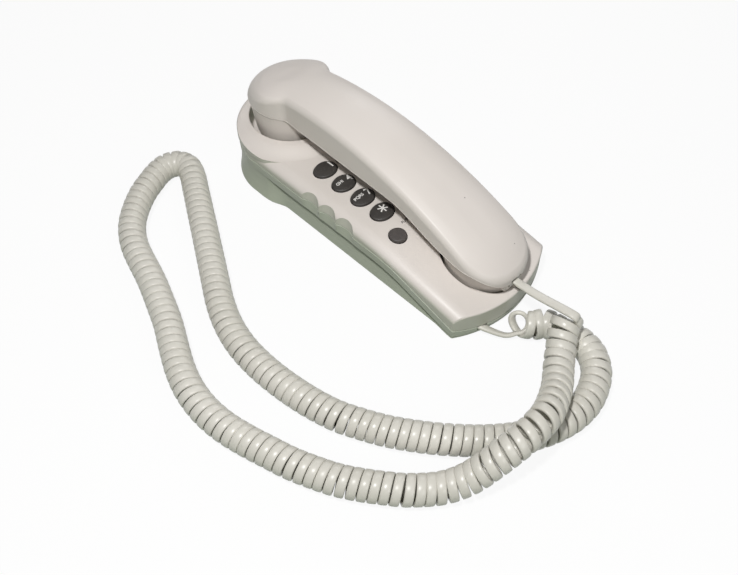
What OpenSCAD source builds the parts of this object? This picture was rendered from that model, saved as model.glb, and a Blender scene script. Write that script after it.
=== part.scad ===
// Slimline corded phone: a keypad base, a handset cradled along it and a curly handset cord.
// Millimetres. Origin under the middle of the base, +Y to the ear end, +Z up.

/* [Base] */
// Width across the straight sides
base_w = 76; // [73:0.5:82]
// Length over both ends
base_l = 210; // [205:1:222]
// Height of the keypad deck
deck_z = 30.5; // [29.5:0.5:34]
// Height of the deck at the tip of the mouth end
mouth_z = 18; // [17:0.5:20]
// Bow of the mouth end
end_bow = 11.5; // [9:0.5:13]
// Width of the soft roll along the sides of the deck
roll_w = 8; // [6:0.5:9]
// Height of that roll
roll_h = 5.5; // [4:0.5:6]
// Height of the seam between the covers, beside the keys
seam_z = 23; // [22:0.5:24]
// Height of the band under the seam
band_h = 7.5; // [6.5:0.5:8.5]
// Set-back of the plinth under the band
plinth_in = 1.2; // [0.8:0.1:1.8]
// Flare of the leg at the table
leg_flare = 3; // [1:0.25:3.5]
// Wall of the two covers
wall = 2.2; // [1.9:0.1:2.4]
// Depth of the finger flutes in the sides
flute_depth = 3.2; // [2:0.2:3.6]
// Height of the rubber feet below the covers
foot_h = 0.8; // [0.5:0.1:1.2]

/* [Cradle] */
// Distance of the ear recess from the ear end
ear_back = 30.3; // [29.5:0.1:32]
// Radius of the ear recess at its rim
ear_recess_r = 25.7; // [25.5:0.1:26.2]
// Height of the raised ring over the deck
ring_rise = 3.5; // [2.5:0.5:4.5]
// Depth of the ear recess below the deck
ear_recess_d = 8.5; // [7.5:0.5:9]
// Distance of the mouth recess from the mouth end
mouth_back = 28; // [27.5:0.5:30]
// Gap around the mouth bulge in its recess
mouth_gap = 0.9; // [0.7:0.1:1.2]

/* [Keys] */
// Width of a dial key
key_w = 15.2; // [13.6:0.2:15.2]
// Depth of a dial key
key_d = 11.8; // [11:0.2:12.6]
// Spacing of the key columns
key_pitch_x = 17.4; // [17.4:0.1:18.4]
// Spacing of the key rows
key_pitch_y = 15.5; // [15:0.1:16]
// Middle of the keypad along the base
keypad_y = 2.5; // [1:0.1:3]
// Height of a key over the deck
key_rise = 1.7; // [1.2:0.1:2.2]
// Travel of a key
key_travel = 1.5; // [1:0.1:1.6]
// Diameter of the two round keys
round_d = 10; // [9:0.5:10.5]

/* [Handset] */
// Radius of the head over the ear cup
head_r = 25; // [24.8:0.1:26]
// Half width of the neck
neck_w = 18.5; // [17.5:0.5:19.5]
// Half width at the mouth
mouth_w = 22; // [21.5:0.5:23]
// Height of the handset seam over the deck
hand_lift = 18.5; // [17.5:0.5:20]
// Height of the crown over the seam
hand_rise = 21.8; // [20.5:0.1:22.5]
// Fall of the handset seam towards the mouth
seam_fall = 10.7; // [10.2:0.1:11.2]
// Lean of the ear end towards the mouth
ear_lean = 6.5; // [4:0.5:7]
// Width of the rolled edge
hand_roll_w = 5; // [4:0.5:6]
// Height of the rolled edge
hand_roll_h = 5.5; // [4.5:0.5:6.5]
// Wall of the two handset shells
hand_wall = 2.2; // [1.8:0.1:2.4]
// Radius of the receiver capsule
receiver_r = 17; // [14:0.5:18]

/* [Cord] */
// Width of the flat cord
cord_w = 4.6; // [4:0.1:4.6]
// Thickness of the flat cord
cord_t = 2.4; // [2:0.1:2.5]
// Curls in the coil, ending on a half
curls = 84.5; // [80.5:1:84.5]

/* [Hidden] */
$fn = 48;

// Shared clearances
slip = 0.3;
seam_gap = 0.1;
screw_gap = 0.05;
// Sinking of one solid into another where both are one piece
bite = 0.6;
// Overrun of a cutter past the face it opens
over = 5;

// Base layout
hw = base_w/2;
y_mouth = -base_l/2;
ear_c = base_l/2 - hw;
ear_y = base_l/2 - ear_back;
mouth_y = y_mouth + mouth_back;
bow_r = (hw*hw + end_bow*end_bow)/(2*end_bow);
bow_c = y_mouth + bow_r;
floor_z = foot_h + wall;
bend_blend = 25;
deck_bend_y = -20;
seam_bend_y = -32;
seam_end = floor_z + 2.2;
lip_end = floor_z;
deck_slope = (deck_z - mouth_z)/(deck_bend_y - y_mouth - bend_blend/2);
seam_slope = (seam_z - seam_end)/(seam_bend_y - y_mouth - bend_blend/2);
end_roll = 1.6;
crease = 0.4;
leg_y = 52;
leg_blend = 12;
flute_r = 9.1;
flute_pitch = 14;
flute_mid = 3;
flute_count = 3;
edge_chamfer = 0.6;

// Keypad layout
key_gap = 0.35;
flange_lap = 0.55;
flange_t = 1;
dome_r = 30;
stem_r = 3;
round_x = 23.2;
round_y = -38.4;
board_drop = 8;
board_t = 1.6;
board_w = 54;
board_y0 = -48;
board_y1 = 40;
mat_t = 1.2;
mat_in = 1;
stub_r = 4;
stub_h = 1.9;
round_stub_h = 0.6;
round_stub_r = 2.5;
board_top = deck_z - wall - board_drop;
mat_top = board_top + mat_t;
post_in = 5;
board_post = [[-9, -38], [9, -38], [post_in - board_w/2, 35], [board_w/2 - post_in, 35]];
board_screw_l = 5;

// Cradle and hook
ring_z = deck_z + ring_rise;
ring_out = 10;
ring_edge = 3;
ring_lap = 0.6;
ear_floor = deck_z - ear_recess_d;
cup_wall = 2;
cup_face = ear_floor + 3.2;
hook_y = ear_y - 12;
hook_r = 4;
hook_travel = 4;
hook_flange_r = 6;
hook_flange_t = 1.5;
hook_stem_r = 1.5;
switch_h = 6;
hook_box_w = 12;
hook_box_d = 9;
hook_top = cup_face - slip;
hook_flange_top = ear_floor - cup_wall - slip - hook_travel;
hook_flange_low = hook_flange_top - hook_flange_t;
spring_r = 3;
spring_wire = 0.8;
spring_curls = 5;
mouth_floor = floor_z + 6.5;
bulge_low = mouth_floor + 1.2;
// Half width, half length and height of the rings of the mouth bulge
bulge_profile = [[10.5, 16.5, 0], [13, 19, 0.8], [14.6, 20.6, 2.6], [16.4, 22.2, 10]];
bulge_rim_w = 19.4;
bulge_rim_l = 23;

// Screws, feet and wall slots
screw_x = 29;
screw_y = [-54, 45];
screw_r = 1.4;
screw_head_r = 2.7;
screw_head_h = 1.8;
screw_slot = 0.8;
screw_l = 14;
well_r = 3.1;
well_z = foot_h + 4.2;
boss_r = 4.4;
boss_z = foot_h + 11.2;
pilot_boss_r = 3.4;
foot_r = 5;
foot_sink = 0.5;
foot_x = 25;
foot_y = [-80, 70];
slot_span = 84;
slot_y = -44;
slot_r = 2.3;
slot_in_r = 4.6;
slot_run = 8;

// Jacks and switch
socket_w = 9.8;
socket_h = 6.8;
jack_wall = 1.6;
line_jack_l = 12;
line_jack_z = floor_z + jack_wall + socket_h/2;
line_jack_y = ear_c + sqrt(pow(hw - wall - 2*crease, 2) - pow(socket_w/2 + jack_wall, 2)) - slip;
socket_rim = 0.4;
plug_w = 7.4;
plug_h = 6;
plug_l = 9.5;
plug_gap = 0.1;
cord_jack_x = -22;
cord_jack_l = 12;
cord_jack_sink = 1.2;
plug_sole = 0.6;
jack_roof = 1;
cord_jack_y = bow_c - sqrt(pow(bow_r - wall, 2) - pow(cord_jack_x - plug_w/2 - jack_wall, 2)) + slip;
cord_exit_z = floor_z - cord_jack_sink + jack_wall + plug_h/2 - 1.8;
cord_notch = 0.7;
ring_sw_y = 58;
ring_sw_travel = 4;
ring_sw_l = 14;
knob_l = 5;
knob_h = 3;
slider_t = 1.2;
slider_lap = 0.8;
switch_rim = 1.5;
switch_w = 8;
switch_x = hw - wall - 2*crease - slip;
ring_sw_z = ear_floor - cup_wall - slip - switch_rim - knob_h/2;
switch_low = ring_sw_z - knob_h/2 - switch_rim;
ring_sw_slot = knob_l + ring_sw_travel + 2*slip;
ringer_r = 12;
ringer_t = 1.2;
ringer_rib = 2;
ringer_rib_h = 3;
ringer_y = 4;
grille_r = 5;
sound_r = 1.1;

// Handset layout
hand_z = deck_z + hand_lift;
crown_z = hand_z + hand_rise;
tip_y = y_mouth + 2;
arch_y = 22;
arch_r = 225;
neck_fall = 2.3;
neck_fall_y0 = 60;
neck_fall_y1 = 20;
fall_y0 = -25;
fall_y1 = -85;
nose = 8.5;
nose_l = 18;
crown = 1.2;
head_roll_w = 6;
head_roll_h = 8;
head_roll_y0 = 66;
head_roll_y1 = 95;
lean_y0 = 60;
lean_y1 = 90;
lean_h = 15;
rim_h = 0.6;
crown_in = 14;
mouth_len = 23;
mouth_pow = 2.3;
notch_r = 8;
notch_y = ear_y - sqrt(pow(head_r + notch_r, 2) - pow(neck_w + notch_r, 2));
notch_a = asin((ear_y - notch_y)/(head_r + notch_r));
under_h = 6.2;
under_in = 7;
floor_h = 3.8;
cup_r = head_r - 0.6;
cup_draft = 2.6;
cup_t = 2.2;
cup_rim = 0.6;
gasket_t = 1;
gasket_w = 5;
receiver_h = 7;
receiver_step = 4;
ear_grille_r = 6;
mouth_grille = 4;
mic_r = 5;
mic_h = 6;
boot_t = 1.8;
boot_lap = 2;
hand_screw_y = [-38, 41];
hand_boss_up = 3;
hand_screw_l = 13;
weight_w = 16;
weight_h = 5;
weight_y0 = -14;
weight_y1 = 32;
weight_z = hand_z - 3;
rib_t = 3;
rib_in = 5;
hand_jack_z = hand_z - 22.5;
hand_jack_l = 12;
hand_jack_in = 0.9;
hand_jack_set = 2.9;

// Cord route, chosen by hand: the axis of the coil from the base to the handset
axis_z = 8.4;
route = [
    [-12.5, -116, 6.8], [-9, -113.2, 7.1], [-4.5, -113.8, 7.5], [-1, -118, 8.1], [1.5, -125.5, axis_z],
    [3.5, -135.5, axis_z], [5, -145, axis_z], [3, -154, axis_z], [-3, -161.5, axis_z],
    [-11.5, -166.5, axis_z], [-22, -169.5, axis_z], [-33, -169.5, axis_z], [-43.5, -167, axis_z],
    [-54, -162.5, axis_z], [-65, -155.5, axis_z], [-75.5, -146.5, axis_z], [-84.5, -137, axis_z],
    [-92, -128, axis_z], [-99, -118.5, axis_z], [-105.5, -108.5, axis_z], [-111, -98, axis_z],
    [-116, -87, axis_z], [-119.5, -75, axis_z], [-122, -62, axis_z], [-123.5, -49, axis_z],
    [-124, -35.5, axis_z], [-123, -21, axis_z], [-119.5, -6, axis_z], [-113.5, 8.5, axis_z],
    [-105.5, 23, axis_z], [-97, 38, axis_z], [-88, 54, axis_z], [-78.5, 71, axis_z],
    [-69.5, 87, axis_z], [-64, 97, axis_z], [-61.5, 105, axis_z], [-64, 111.5, axis_z],
    [-70.5, 114.5, axis_z], [-78, 113.5, axis_z], [-85.5, 110.5, axis_z], [-93, 107, axis_z],
    [-100, 102.5, axis_z], [-107, 97, axis_z], [-113.5, 90.5, axis_z], [-119, 82.5, axis_z],
    [-123, 74, axis_z], [-126, 64.5, axis_z], [-130.5, 48.5, axis_z], [-136, 33, axis_z],
    [-142, 17.5, axis_z], [-149, 3, axis_z], [-155, -10.5, axis_z], [-159, -24, axis_z],
    [-160.5, -38, axis_z], [-159.5, -52, axis_z], [-156.5, -65.5, axis_z], [-153, -77.5, axis_z],
    [-149.5, -89, axis_z], [-145, -100, axis_z], [-140, -110.5, axis_z], [-134, -120, axis_z],
    [-127, -129.5, axis_z], [-119.5, -138.5, axis_z], [-108, -148.5, axis_z], [-97, -155.5, 12.5],
    [-86, -160, 20], [-75, -163, 25.5], [-64, -164.5, 28], [-53, -164, 28],
    [-42, -160.5, 24], [-31, -155.5, 19], [-21.5, -149.5, 17], [-13.5, -144.5, 17.5],
    [-6.5, -141, 20], [0.5, -139.5, 23]
];
curl_r = 6.8;
first_curl = 0.72;
curl_ease = 2;
bend_share = 0.6;
curl_rings = 8;
route_steps = 6;
near_rings = 5;
near_d = 8;

KEYS = [
    ["1", -1, 0], ["2", 0, 0], ["3", 1, 0], ["4", -1, 1], ["5", 0, 1], ["6", 1, 1],
    ["7", -1, 2], ["8", 0, 2], ["9", 1, 2], ["star", -1, 3], ["0", 0, 3], ["hash", 1, 3]
];
ROUNDS = [["flash", -1], ["redial", 1]];

// Curves shared by the pieces

function smooth(t) = let (u = min(1, max(0, t))) u*u*(3 - 2*u);
function lerp(a, b, t) = a + (b - a)*t;

// Fall of a surface that runs level, bends over a blend and then slopes down to the mouth end
function fall(y, start, slope) =
    let (t = start - y)
    t <= 0 ? 0 : t < bend_blend ? slope*t*t/(2*bend_blend) : slope*(t - bend_blend/2);

function deck_at(y) = deck_z - fall(y, deck_bend_y, deck_slope);
function seam_at(y) = max(seam_end, seam_z - fall(y, seam_bend_y, seam_slope));
function lip_at(y) = max(lip_end, seam_at(y) - band_h);

// Drop of the deck's side roll at an inset from the side
function roll_drop(e) = e >= roll_w ? 0 : roll_h*(1 - sqrt(1 - pow(1 - e/roll_w, 2)));

// Depth of the finger flutes along the sides
function flute_at(y) =
    let (k = min(1, max(-1, round((y - flute_mid)/flute_pitch))))
    let (u = min(flute_r, abs(y - flute_mid - k*flute_pitch)))
    max(0, flute_depth - flute_r + sqrt(flute_r*flute_r - u*u));

// Set-back of the plinth: full beside the keys, none at the leg and where the lip runs out
function relief_at(y) =
    let (leg = smooth((leg_y + leg_blend/2 - y)/leg_blend))
    let (lip = smooth((lip_at(y) - lip_end)/4))
    max(crease + plinth_in*leg*lip, flute_at(y) > 0 ? flute_at(y) + crease : 0);

// Flare of the leg under the ear end: full along the sides, fading around the ear arc
function flare_at(y) = leg_flare*smooth((y - leg_y + leg_blend)/leg_blend);
function flared(p, share) =
    p[1] <= ear_c ? [p[0] + sign(p[0])*share*flare_at(p[1]), p[1], p[2]] :
    let (r = norm([p[0], p[1] - ear_c]), k = 1 + share*leg_flare*pow(p[0]/r, 2)/r)
    [p[0]*k, ear_c + (p[1] - ear_c)*k, p[2]];

// Stations along one side of the base, from the mouth corner to the ear arc
function side_stations(y0) =
    let (f0 = flute_mid - flute_pitch*flute_count/2, f1 = flute_mid + flute_pitch*flute_count/2)
    concat(
        [for (i = [1:6]) lerp(y0, f0, i/7)],
        [for (i = [0:18]) lerp(f0, f1, i/18)],
        [for (i = [1:7]) lerp(f1, ear_c, i/8)]
    );

// Half outline of the base at an inset: side inset, end inset, and which extra inset the side follows
function side_in(y, ds, extra) =
    extra == 0 ? sqrt(ds*ds + pow(flute_at(y), 2)) :
    extra == 1 ? ds + flute_at(y) : ds + relief_at(y);

function base_half(ds, de, extra) =
    let (e = extra == 2 ? crease : 0)
    let (w = hw - ds - e, rb = bow_r - de - e, a0 = asin(w/rb))
    let (y0 = bow_c - rb*cos(a0))
    concat(
        [for (i = [0:7]) let (a = a0*i/7) [rb*sin(a), bow_c - rb*cos(a), 1]],
        [for (y = side_stations(y0)) [hw - side_in(y, ds, extra), y, 0]],
        [for (i = [0:12]) let (a = 90*i/12) [i == 12 ? 0 : w*cos(a), ear_c + w*sin(a), 0]]
    );

function mirrored(half) =
    concat(half, [for (i = [len(half) - 2:-1:1]) [-half[i][0], half[i][1], half[i][2]]]);
function base_ring(ds, de, extra) = mirrored(base_half(ds, de, extra));

// Inset of a point of the base from the side, or from the ear arc
function inset_of(p) = p[1] > ear_c ? hw - norm([p[0], p[1] - ear_c]) : hw - abs(p[0]);

// Ring on the deck's roll at an angle, lowered and set in by a wall
function deck_ring(a, t) =
    [for (p = base_ring(t + (roll_w - t/2)*(1 - cos(a)), t + end_roll*(1 - cos(a)), 0))
        let (drop = roll_drop(max(0, inset_of(p) - t)) + p[2]*end_roll*(1 - sin(a)))
        [p[0], p[1], deck_at(p[1]) - t - drop]];

// Handset curves
function hand_seam(y) =
    hand_z - neck_fall*smooth((neck_fall_y0 - y)/(neck_fall_y0 - neck_fall_y1))
        - seam_fall*smooth((fall_y0 - y)/(fall_y0 - fall_y1))
        - nose*pow(max(0, (tip_y + nose_l - y)/nose_l), 2);
function hand_top(y) = crown_z - pow(y - arch_y, 2)/(2*arch_r);

function hand_half(d) =
    let (c = tip_y + mouth_len, q = 2/mouth_pow, nr = notch_r + d)
    concat(
        [for (i = [0:9]) let (t = 10*i)
            [(mouth_w - d)*pow(sin(t), q), c - (mouth_len - d)*pow(cos(t), q), 0]],
        [for (i = [1:11]) [lerp(mouth_w, neck_w, i/12) - d, lerp(c, notch_y, i/12), 0]],
        [for (i = [0:4]) let (a = 180 - notch_a*i/4)
            [neck_w + notch_r + nr*cos(a), notch_y + nr*sin(a), 0]],
        [for (i = [1:13]) let (a = lerp(-notch_a, 90, i/13))
            [i == 13 ? 0 : (head_r - d)*cos(a), ear_y + (head_r - d)*sin(a), 0]]
    );
function hand_ring(d) = mirrored(hand_half(d));

// The rolled edge grows towards the ear end
function head_share(y) = smooth((y - head_roll_y0)/(head_roll_y1 - head_roll_y0));
function hand_roll_at(y) = lerp(hand_roll_h, head_roll_h, head_share(y));

// Set-back of the ear end at a height over the seam
function lean_at(y, z) =
    ear_lean*min(1, max(0, (z - hand_z)/lean_h))*smooth((y - lean_y0)/(lean_y1 - lean_y0));
function leant(p) = [p[0], p[1] - lean_at(p[1], p[2]), p[2]];

// Ring on the rolled edge at an angle, set in by a wall
hand_rim = hand_ring(0);
hand_rim_in = hand_ring(1);
function hand_edge(a, t) =
    [for (i = [0:len(hand_rim) - 1])
        let (roll = lerp(hand_roll_w, head_roll_w, head_share(hand_rim[i][1])))
        let (p = lerp(hand_rim[i], hand_rim_in[i], t + max(0, roll - t/2)*(1 - cos(a))))
        let (high = hand_top(p[1]) - crown - t, room = high - hand_seam(p[1]) - rim_h)
        leant([p[0], p[1], high - min(room, max(0, hand_roll_at(p[1]) - t/2))*(1 - sin(a))])];
function hand_crown(d, sag) = [for (p = hand_ring(d)) leant([p[0], p[1], hand_top(p[1]) - sag])];
function hand_under(d, h) = [for (p = hand_ring(d)) [p[0], p[1], hand_seam(p[1]) - h]];

// Oval of the mouth bulge, grown by a margin
function oval(a, b) = [for (i = [0:35]) [a*sin(10*i), -b*cos(10*i)]];
function bulge_ring(a, b, z, m) = [for (p = oval(a + m, b + m)) [p[0], mouth_y + p[1], z]];
function bulge_rim(a, b, drop, m) =
    [for (p = oval(a + m, b + m)) [p[0], mouth_y + p[1], hand_seam(mouth_y + p[1]) - drop]];
function bulge_rings(m, low) = [for (b = bulge_profile) bulge_ring(b[0], b[1], low + b[2], m)];

// Solids from rings

function strip(n, at, flip) =
    [for (k = [0:n/2 - 1])
        for (t = k == 0 ? [[0, 1, n - 1]] : k == n/2 - 1 ? [[k, k + 1, k + 2]] :
            [[k, k + 1, n - k - 1], [k, n - k - 1, n - k]])
            flip ? [at + t[2], at + t[1], at + t[0]] : [at + t[0], at + t[1], at + t[2]]];

function band(n, at) =
    [for (i = [0:n - 1]) let (j = (i + 1)%n)
        for (t = [[i, n + i, n + j], [i, n + j, j]]) [at + t[0], at + t[1], at + t[2]]];

// Skin over a list of rings, closed at both ends by strips across the middle line
module loft(rings) {
    n = len(rings[0]);
    m = len(rings);
    polyhedron(
        points = [for (r = rings) each r],
        faces = concat(
            strip(n, 0, false),
            [for (r = [0:m - 2]) each band(n, r*n)],
            strip(n, (m - 1)*n, true)
        )
    );
}

module block(x0, x1, y0, y1, z0, z1) {
    translate([x0, y0, z0]) cube([x1 - x0, y1 - y0, z1 - z0]);
}

module pin(x, y, r, z0, z1) {
    translate([x, y, z0]) cylinder(r = r, h = z1 - z0);
}

module screw(seat, length) {
    difference() {
        union() {
            translate([0, 0, seat - screw_head_h]) cylinder(r = screw_head_r, h = screw_head_h);
            translate([0, 0, seat]) cylinder(r = screw_r, h = length);
        }
        block(-screw_head_r, screw_head_r, -screw_slot/2, screw_slot/2,
            seat - screw_head_h - over, seat - screw_head_h + screw_slot);
    }
}

// Base covers

module base_top_cover() {
    inner_seam = [for (p = base_ring(wall, wall, 1)) [p[0], p[1], seam_at(p[1]) + seam_gap]];
    outer_seam = [for (p = base_ring(0, 0, 1)) [p[0], p[1], seam_at(p[1]) + seam_gap]];
    color("antiquewhite") difference() {
        union() {
            loft([
                deck_ring(90, wall), deck_ring(50, wall), deck_ring(0, wall), inner_seam,
                outer_seam, deck_ring(0, 0), deck_ring(30, 0), deck_ring(60, 0), deck_ring(90, 0)
            ]);
            cradle_ring();
            pin(0, ear_y, ear_recess_r + cup_wall, ear_floor - cup_wall, deck_z);
            intersection() {
                loft(concat(
                    bulge_rings(mouth_gap + cup_wall, mouth_floor - cup_wall),
                    [bulge_ring(bulge_rim_w - 0.9, bulge_rim_l - 0.4, deck_z, mouth_gap + cup_wall)]
                ));
                deck_fill();
            }
            for (x = [-screw_x, screw_x])
                for (y = screw_y) pin(x, y, pilot_boss_r, boss_z + slip, deck_at(y) - wall/2);
            for (p = board_post) pin(p[0], p[1], stem_r, board_top, deck_at(p[1]) - wall/2);
        }
        ear_recess();
        loft(concat(
            bulge_rings(mouth_gap, mouth_floor),
            [bulge_ring(bulge_rim_w, bulge_rim_l, deck_z + over, mouth_gap)]
        ));
        pin(0, hook_y, hook_r + key_gap, ear_floor - over, ear_floor + over);
        for (k = KEYS) key_hole(k[1]*key_pitch_x, key_y(k[2]), key_w, key_d);
        for (k = ROUNDS) key_hole(k[1]*round_x, round_y, round_d, round_d);
        for (x = [-screw_x, screw_x])
            for (y = screw_y) pin(x, y, screw_r + screw_gap, boss_z, well_z + screw_l + 1);
        for (p = board_post) pin(p[0], p[1], screw_r + screw_gap, board_top - 1, board_top + 5);
        cord_passage();
    }
}

// Deck side of the mouth end, kept under the deck's own face
module deck_fill() {
    side = base_ring(wall/2, wall/2, 1);
    loft([
        [for (p = side) [p[0], p[1], floor_z]],
        [for (p = side) [p[0], p[1], min(seam_at(p[1]) + wall, deck_at(p[1]) - roll_h - wall)]],
        deck_ring(90, wall/2)
    ]);
}

module cradle_ring() {
    r1 = ear_recess_r + ring_out;
    r2 = hw + ring_lap;
    low = deck_z - roll_h + 1;
    intersection() {
        translate([0, ear_y, 0]) rounded_disc(r1, low, ring_z, ring_edge);
        translate([0, ear_c, 0]) rounded_disc(r2, low, ring_z, ring_edge);
    }
}

module rounded_disc(r, z0, z1, edge) {
    rotate_extrude() {
        square_at(0, r, z0, z1 - edge);
        square_at(0, r - edge, z0, z1);
        translate([r - edge, z1 - edge]) circle(r = edge);
    }
}

module square_at(x0, x1, y0, y1) {
    translate([x0, y0]) square([x1 - x0, y1 - y0]);
}

module ear_recess() {
    translate([0, ear_y, 0]) rotate_extrude() polygon([
        [0, ear_floor], [ear_recess_r - 2.4, ear_floor], [ear_recess_r - 0.6, ear_floor + 1.8],
        [ear_recess_r, ring_z - 1], [ear_recess_r + 1.2, ring_z + 0.2],
        [ear_recess_r + 1.2, ring_z + over], [0, ring_z + over]
    ]);
}

module base_bottom_cover() {
    outer = [
        [for (p = base_ring(edge_chamfer, edge_chamfer, 2)) flared([p[0], p[1], foot_h], 1)],
        [for (p = base_ring(0, 0, 2)) flared([p[0], p[1], foot_h + edge_chamfer], 1)],
        [for (p = base_ring(0, 0, 2)) flared([p[0], p[1], lerp(foot_h, lip_at(p[1]), 0.4)], 0.35)],
        [for (p = base_ring(0, 0, 2)) [p[0], p[1], lip_at(p[1])]],
        [for (p = base_ring(0, 0, 1)) [p[0], p[1], lip_at(p[1]) + 0.15]],
        [for (p = base_ring(0, 0, 1)) [p[0], p[1], seam_at(p[1]) - seam_gap]]
    ];
    inner = [
        [for (p = base_ring(wall, wall, 1)) [p[0], p[1], seam_at(p[1]) - seam_gap]],
        [for (p = base_ring(wall, wall, 1))
            [p[0], p[1], min(seam_at(p[1]) - seam_gap - 0.5, max(lip_at(p[1]) + wall, floor_z + 1.2))]],
        [for (p = base_ring(wall, wall, 2)) [p[0], p[1], max(lip_at(p[1]), floor_z + 0.6)]],
        [for (p = base_ring(wall + 0.4, wall + 0.4, 2)) [p[0], p[1], floor_z]]
    ];
    color("antiquewhite") difference() {
        union() {
            loft(concat(outer, inner));
            for (x = [-screw_x, screw_x])
                for (y = screw_y) pin(x, y, boss_r, floor_z - bite, boss_z);
            difference() {
                pin(0, ringer_y, ringer_r - slip, floor_z - bite, floor_z + ringer_rib_h);
                pin(0, ringer_y, ringer_r - slip - ringer_rib, floor_z - over, floor_z + over);
            }
            block(switch_x - switch_w, switch_x - slip, ring_sw_y - ring_sw_l/2, ring_sw_y + ring_sw_l/2,
                floor_z - bite, switch_low);
        }
        for (x = [-screw_x, screw_x])
            for (y = screw_y) {
                pin(x, y, well_r, foot_h - over, well_z);
                pin(x, y, screw_r + slip, foot_h, boss_z + over);
            }
        for (x = [-foot_x, foot_x])
            for (y = foot_y) pin(x, y, foot_r + slip, foot_h - over, foot_h + foot_sink);
        for (y = [slot_y, slot_y + slot_span]) wall_slot(y);
        for (a = [0:60:300])
            pin(grille_r*cos(a), ringer_y + grille_r*sin(a), sound_r, foot_h - over, floor_z + over);
        block(-socket_w/2 - socket_rim, socket_w/2 + socket_rim, line_jack_y - slip, base_l/2 + over,
            line_jack_z - socket_h/2 - socket_rim, line_jack_z + socket_h/2 + socket_rim);
        jack_seat(slip);
        cord_passage();
        block(switch_x - slip, hw + over, ring_sw_y - ring_sw_slot/2, ring_sw_y + ring_sw_slot/2,
            ring_sw_z - knob_h/2 - slip, ring_sw_z + knob_h/2 + slip);
    }
}

module wall_slot(y) {
    pin(0, y, slot_in_r, foot_h - over, floor_z + over);
    pin(0, y + slot_run, slot_r, foot_h - over, floor_z + over);
    block(-slot_r, slot_r, y, y + slot_run, foot_h - over, floor_z + over);
}

module jack_seat(gap) {
    w = plug_w/2 + jack_wall + gap;
    block(cord_jack_x - w, cord_jack_x + w, cord_jack_y - gap, cord_jack_y + cord_jack_l + gap,
        floor_z - cord_jack_sink, floor_z + over);
}

// Way out of the base for the handset cord, through the end wall
module cord_passage() {
    w = cord_w/2 + cord_notch;
    block(cord_jack_x - w, cord_jack_x + w, y_mouth - over, cord_jack_y + bite,
        cord_exit_z - cord_t/2 - cord_notch, cord_exit_z + cord_t/2 + cord_notch);
}

module base_feet() {
    color("dimgray")
        for (x = [-foot_x, foot_x])
            for (y = foot_y) pin(x, y, foot_r, 0, foot_h + foot_sink);
}

module base_screws() {
    color("silver")
        for (x = [-screw_x, screw_x])
            for (y = screw_y) translate([x, y, 0]) screw(well_z, screw_l);
}

// Keypad

function key_y(row) = keypad_y + key_pitch_y*(1.5 - row);
function ellipse(a, b) = [for (i = [0:27]) [a/2*cos(360*i/28), b/2*sin(360*i/28)]];

module key_hole(x, y, a, b) {
    translate([x, y, deck_z - wall - over]) linear_extrude(3*over)
        polygon(ellipse(a + 2*key_gap, b + 2*key_gap));
}

// Highest level that a key's flange may reach under the sloping deck
function flange_top(y, b) = deck_at(y - b/2 - key_gap - flange_lap) - wall - slip;

module key_cap(x, y, a, b, stub) {
    top = deck_at(y) + key_rise;
    high = flange_top(y, b);
    low = mat_top + stub + slip + key_travel;
    lap = 2*(key_gap + flange_lap);
    base = high - flange_t;
    color([0.26, 0.25, 0.24]) translate([x, y, 0]) {
        intersection() {
            translate([0, 0, base]) linear_extrude(top - base) polygon(ellipse(a, b));
            translate([0, 0, top - dome_r]) sphere(r = dome_r, $fn = 96);
        }
        translate([0, 0, base]) linear_extrude(flange_t) polygon(ellipse(a + lap, b + lap));
        translate([0, 0, low]) cylinder(r = stem_r, h = high - flange_t/2 - low);
    }
}

module key_mat() {
    color("gainsboro") difference() {
        union() {
            block(mat_in - board_w/2, board_w/2 - mat_in, board_y0 + mat_in, board_y1 - mat_in,
                board_top, mat_top);
            for (k = KEYS)
                pin(k[1]*key_pitch_x, key_y(k[2]), stub_r, mat_top - bite, mat_top + stub_h);
            for (k = ROUNDS)
                pin(k[1]*round_x, round_y, round_stub_r, mat_top - bite, mat_top + round_stub_h);
        }
        for (p = board_post) pin(p[0], p[1], stem_r + slip, board_top - 1, mat_top + over);
    }
}

module keypad_board() {
    color("darkgreen") difference() {
        block(-board_w/2, board_w/2, board_y0, board_y1, board_top - board_t, board_top);
        for (p = board_post) pin(p[0], p[1], screw_r + slip, board_top - over, board_top + over);
    }
}

module board_screws() {
    color("silver")
        for (p = board_post) translate([p[0], p[1], 0]) screw(board_top - board_t, board_screw_l);
}

// Hook switch

module hook_switch() {
    color("darkslategray")
        block(-hook_box_w/2, hook_box_w/2, hook_y - hook_box_d/2, hook_y + hook_box_d/2,
            floor_z, floor_z + switch_h);
}

module hook_plunger() {
    color("ivory") translate([0, hook_y, 0]) {
        translate([0, 0, hook_flange_top]) cylinder(r = hook_r, h = hook_top - hook_flange_top);
        translate([0, 0, hook_flange_low]) cylinder(r = hook_flange_r, h = hook_flange_t);
        translate([0, 0, floor_z + switch_h + slip])
            cylinder(r = hook_stem_r, h = hook_flange_low - floor_z - switch_h - slip);
    }
}

// Round wire wound by formula, with both ends level with the faces they bear on
module hook_spring() {
    z0 = floor_z + switch_h + spring_wire/2;
    z1 = hook_flange_low - spring_wire/2;
    n = spring_curls*curl_rings;
    rings = [for (i = [0:n])
        let (a = 360*i/curl_rings, z = lerp(z0, z1, i/n))
        [for (k = [0:5]) let (b = 60*k, r = spring_r + spring_wire/2*cos(b))
            [r*cos(a), hook_y + r*sin(a), z - spring_wire/2*sin(b)]]];
    color("silver") tube(rings);
}

// Ringer

module ringer_disc() {
    z0 = floor_z + ringer_rib_h;
    color("goldenrod") pin(0, ringer_y, ringer_r, z0, z0 + ringer_t);
}

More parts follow.
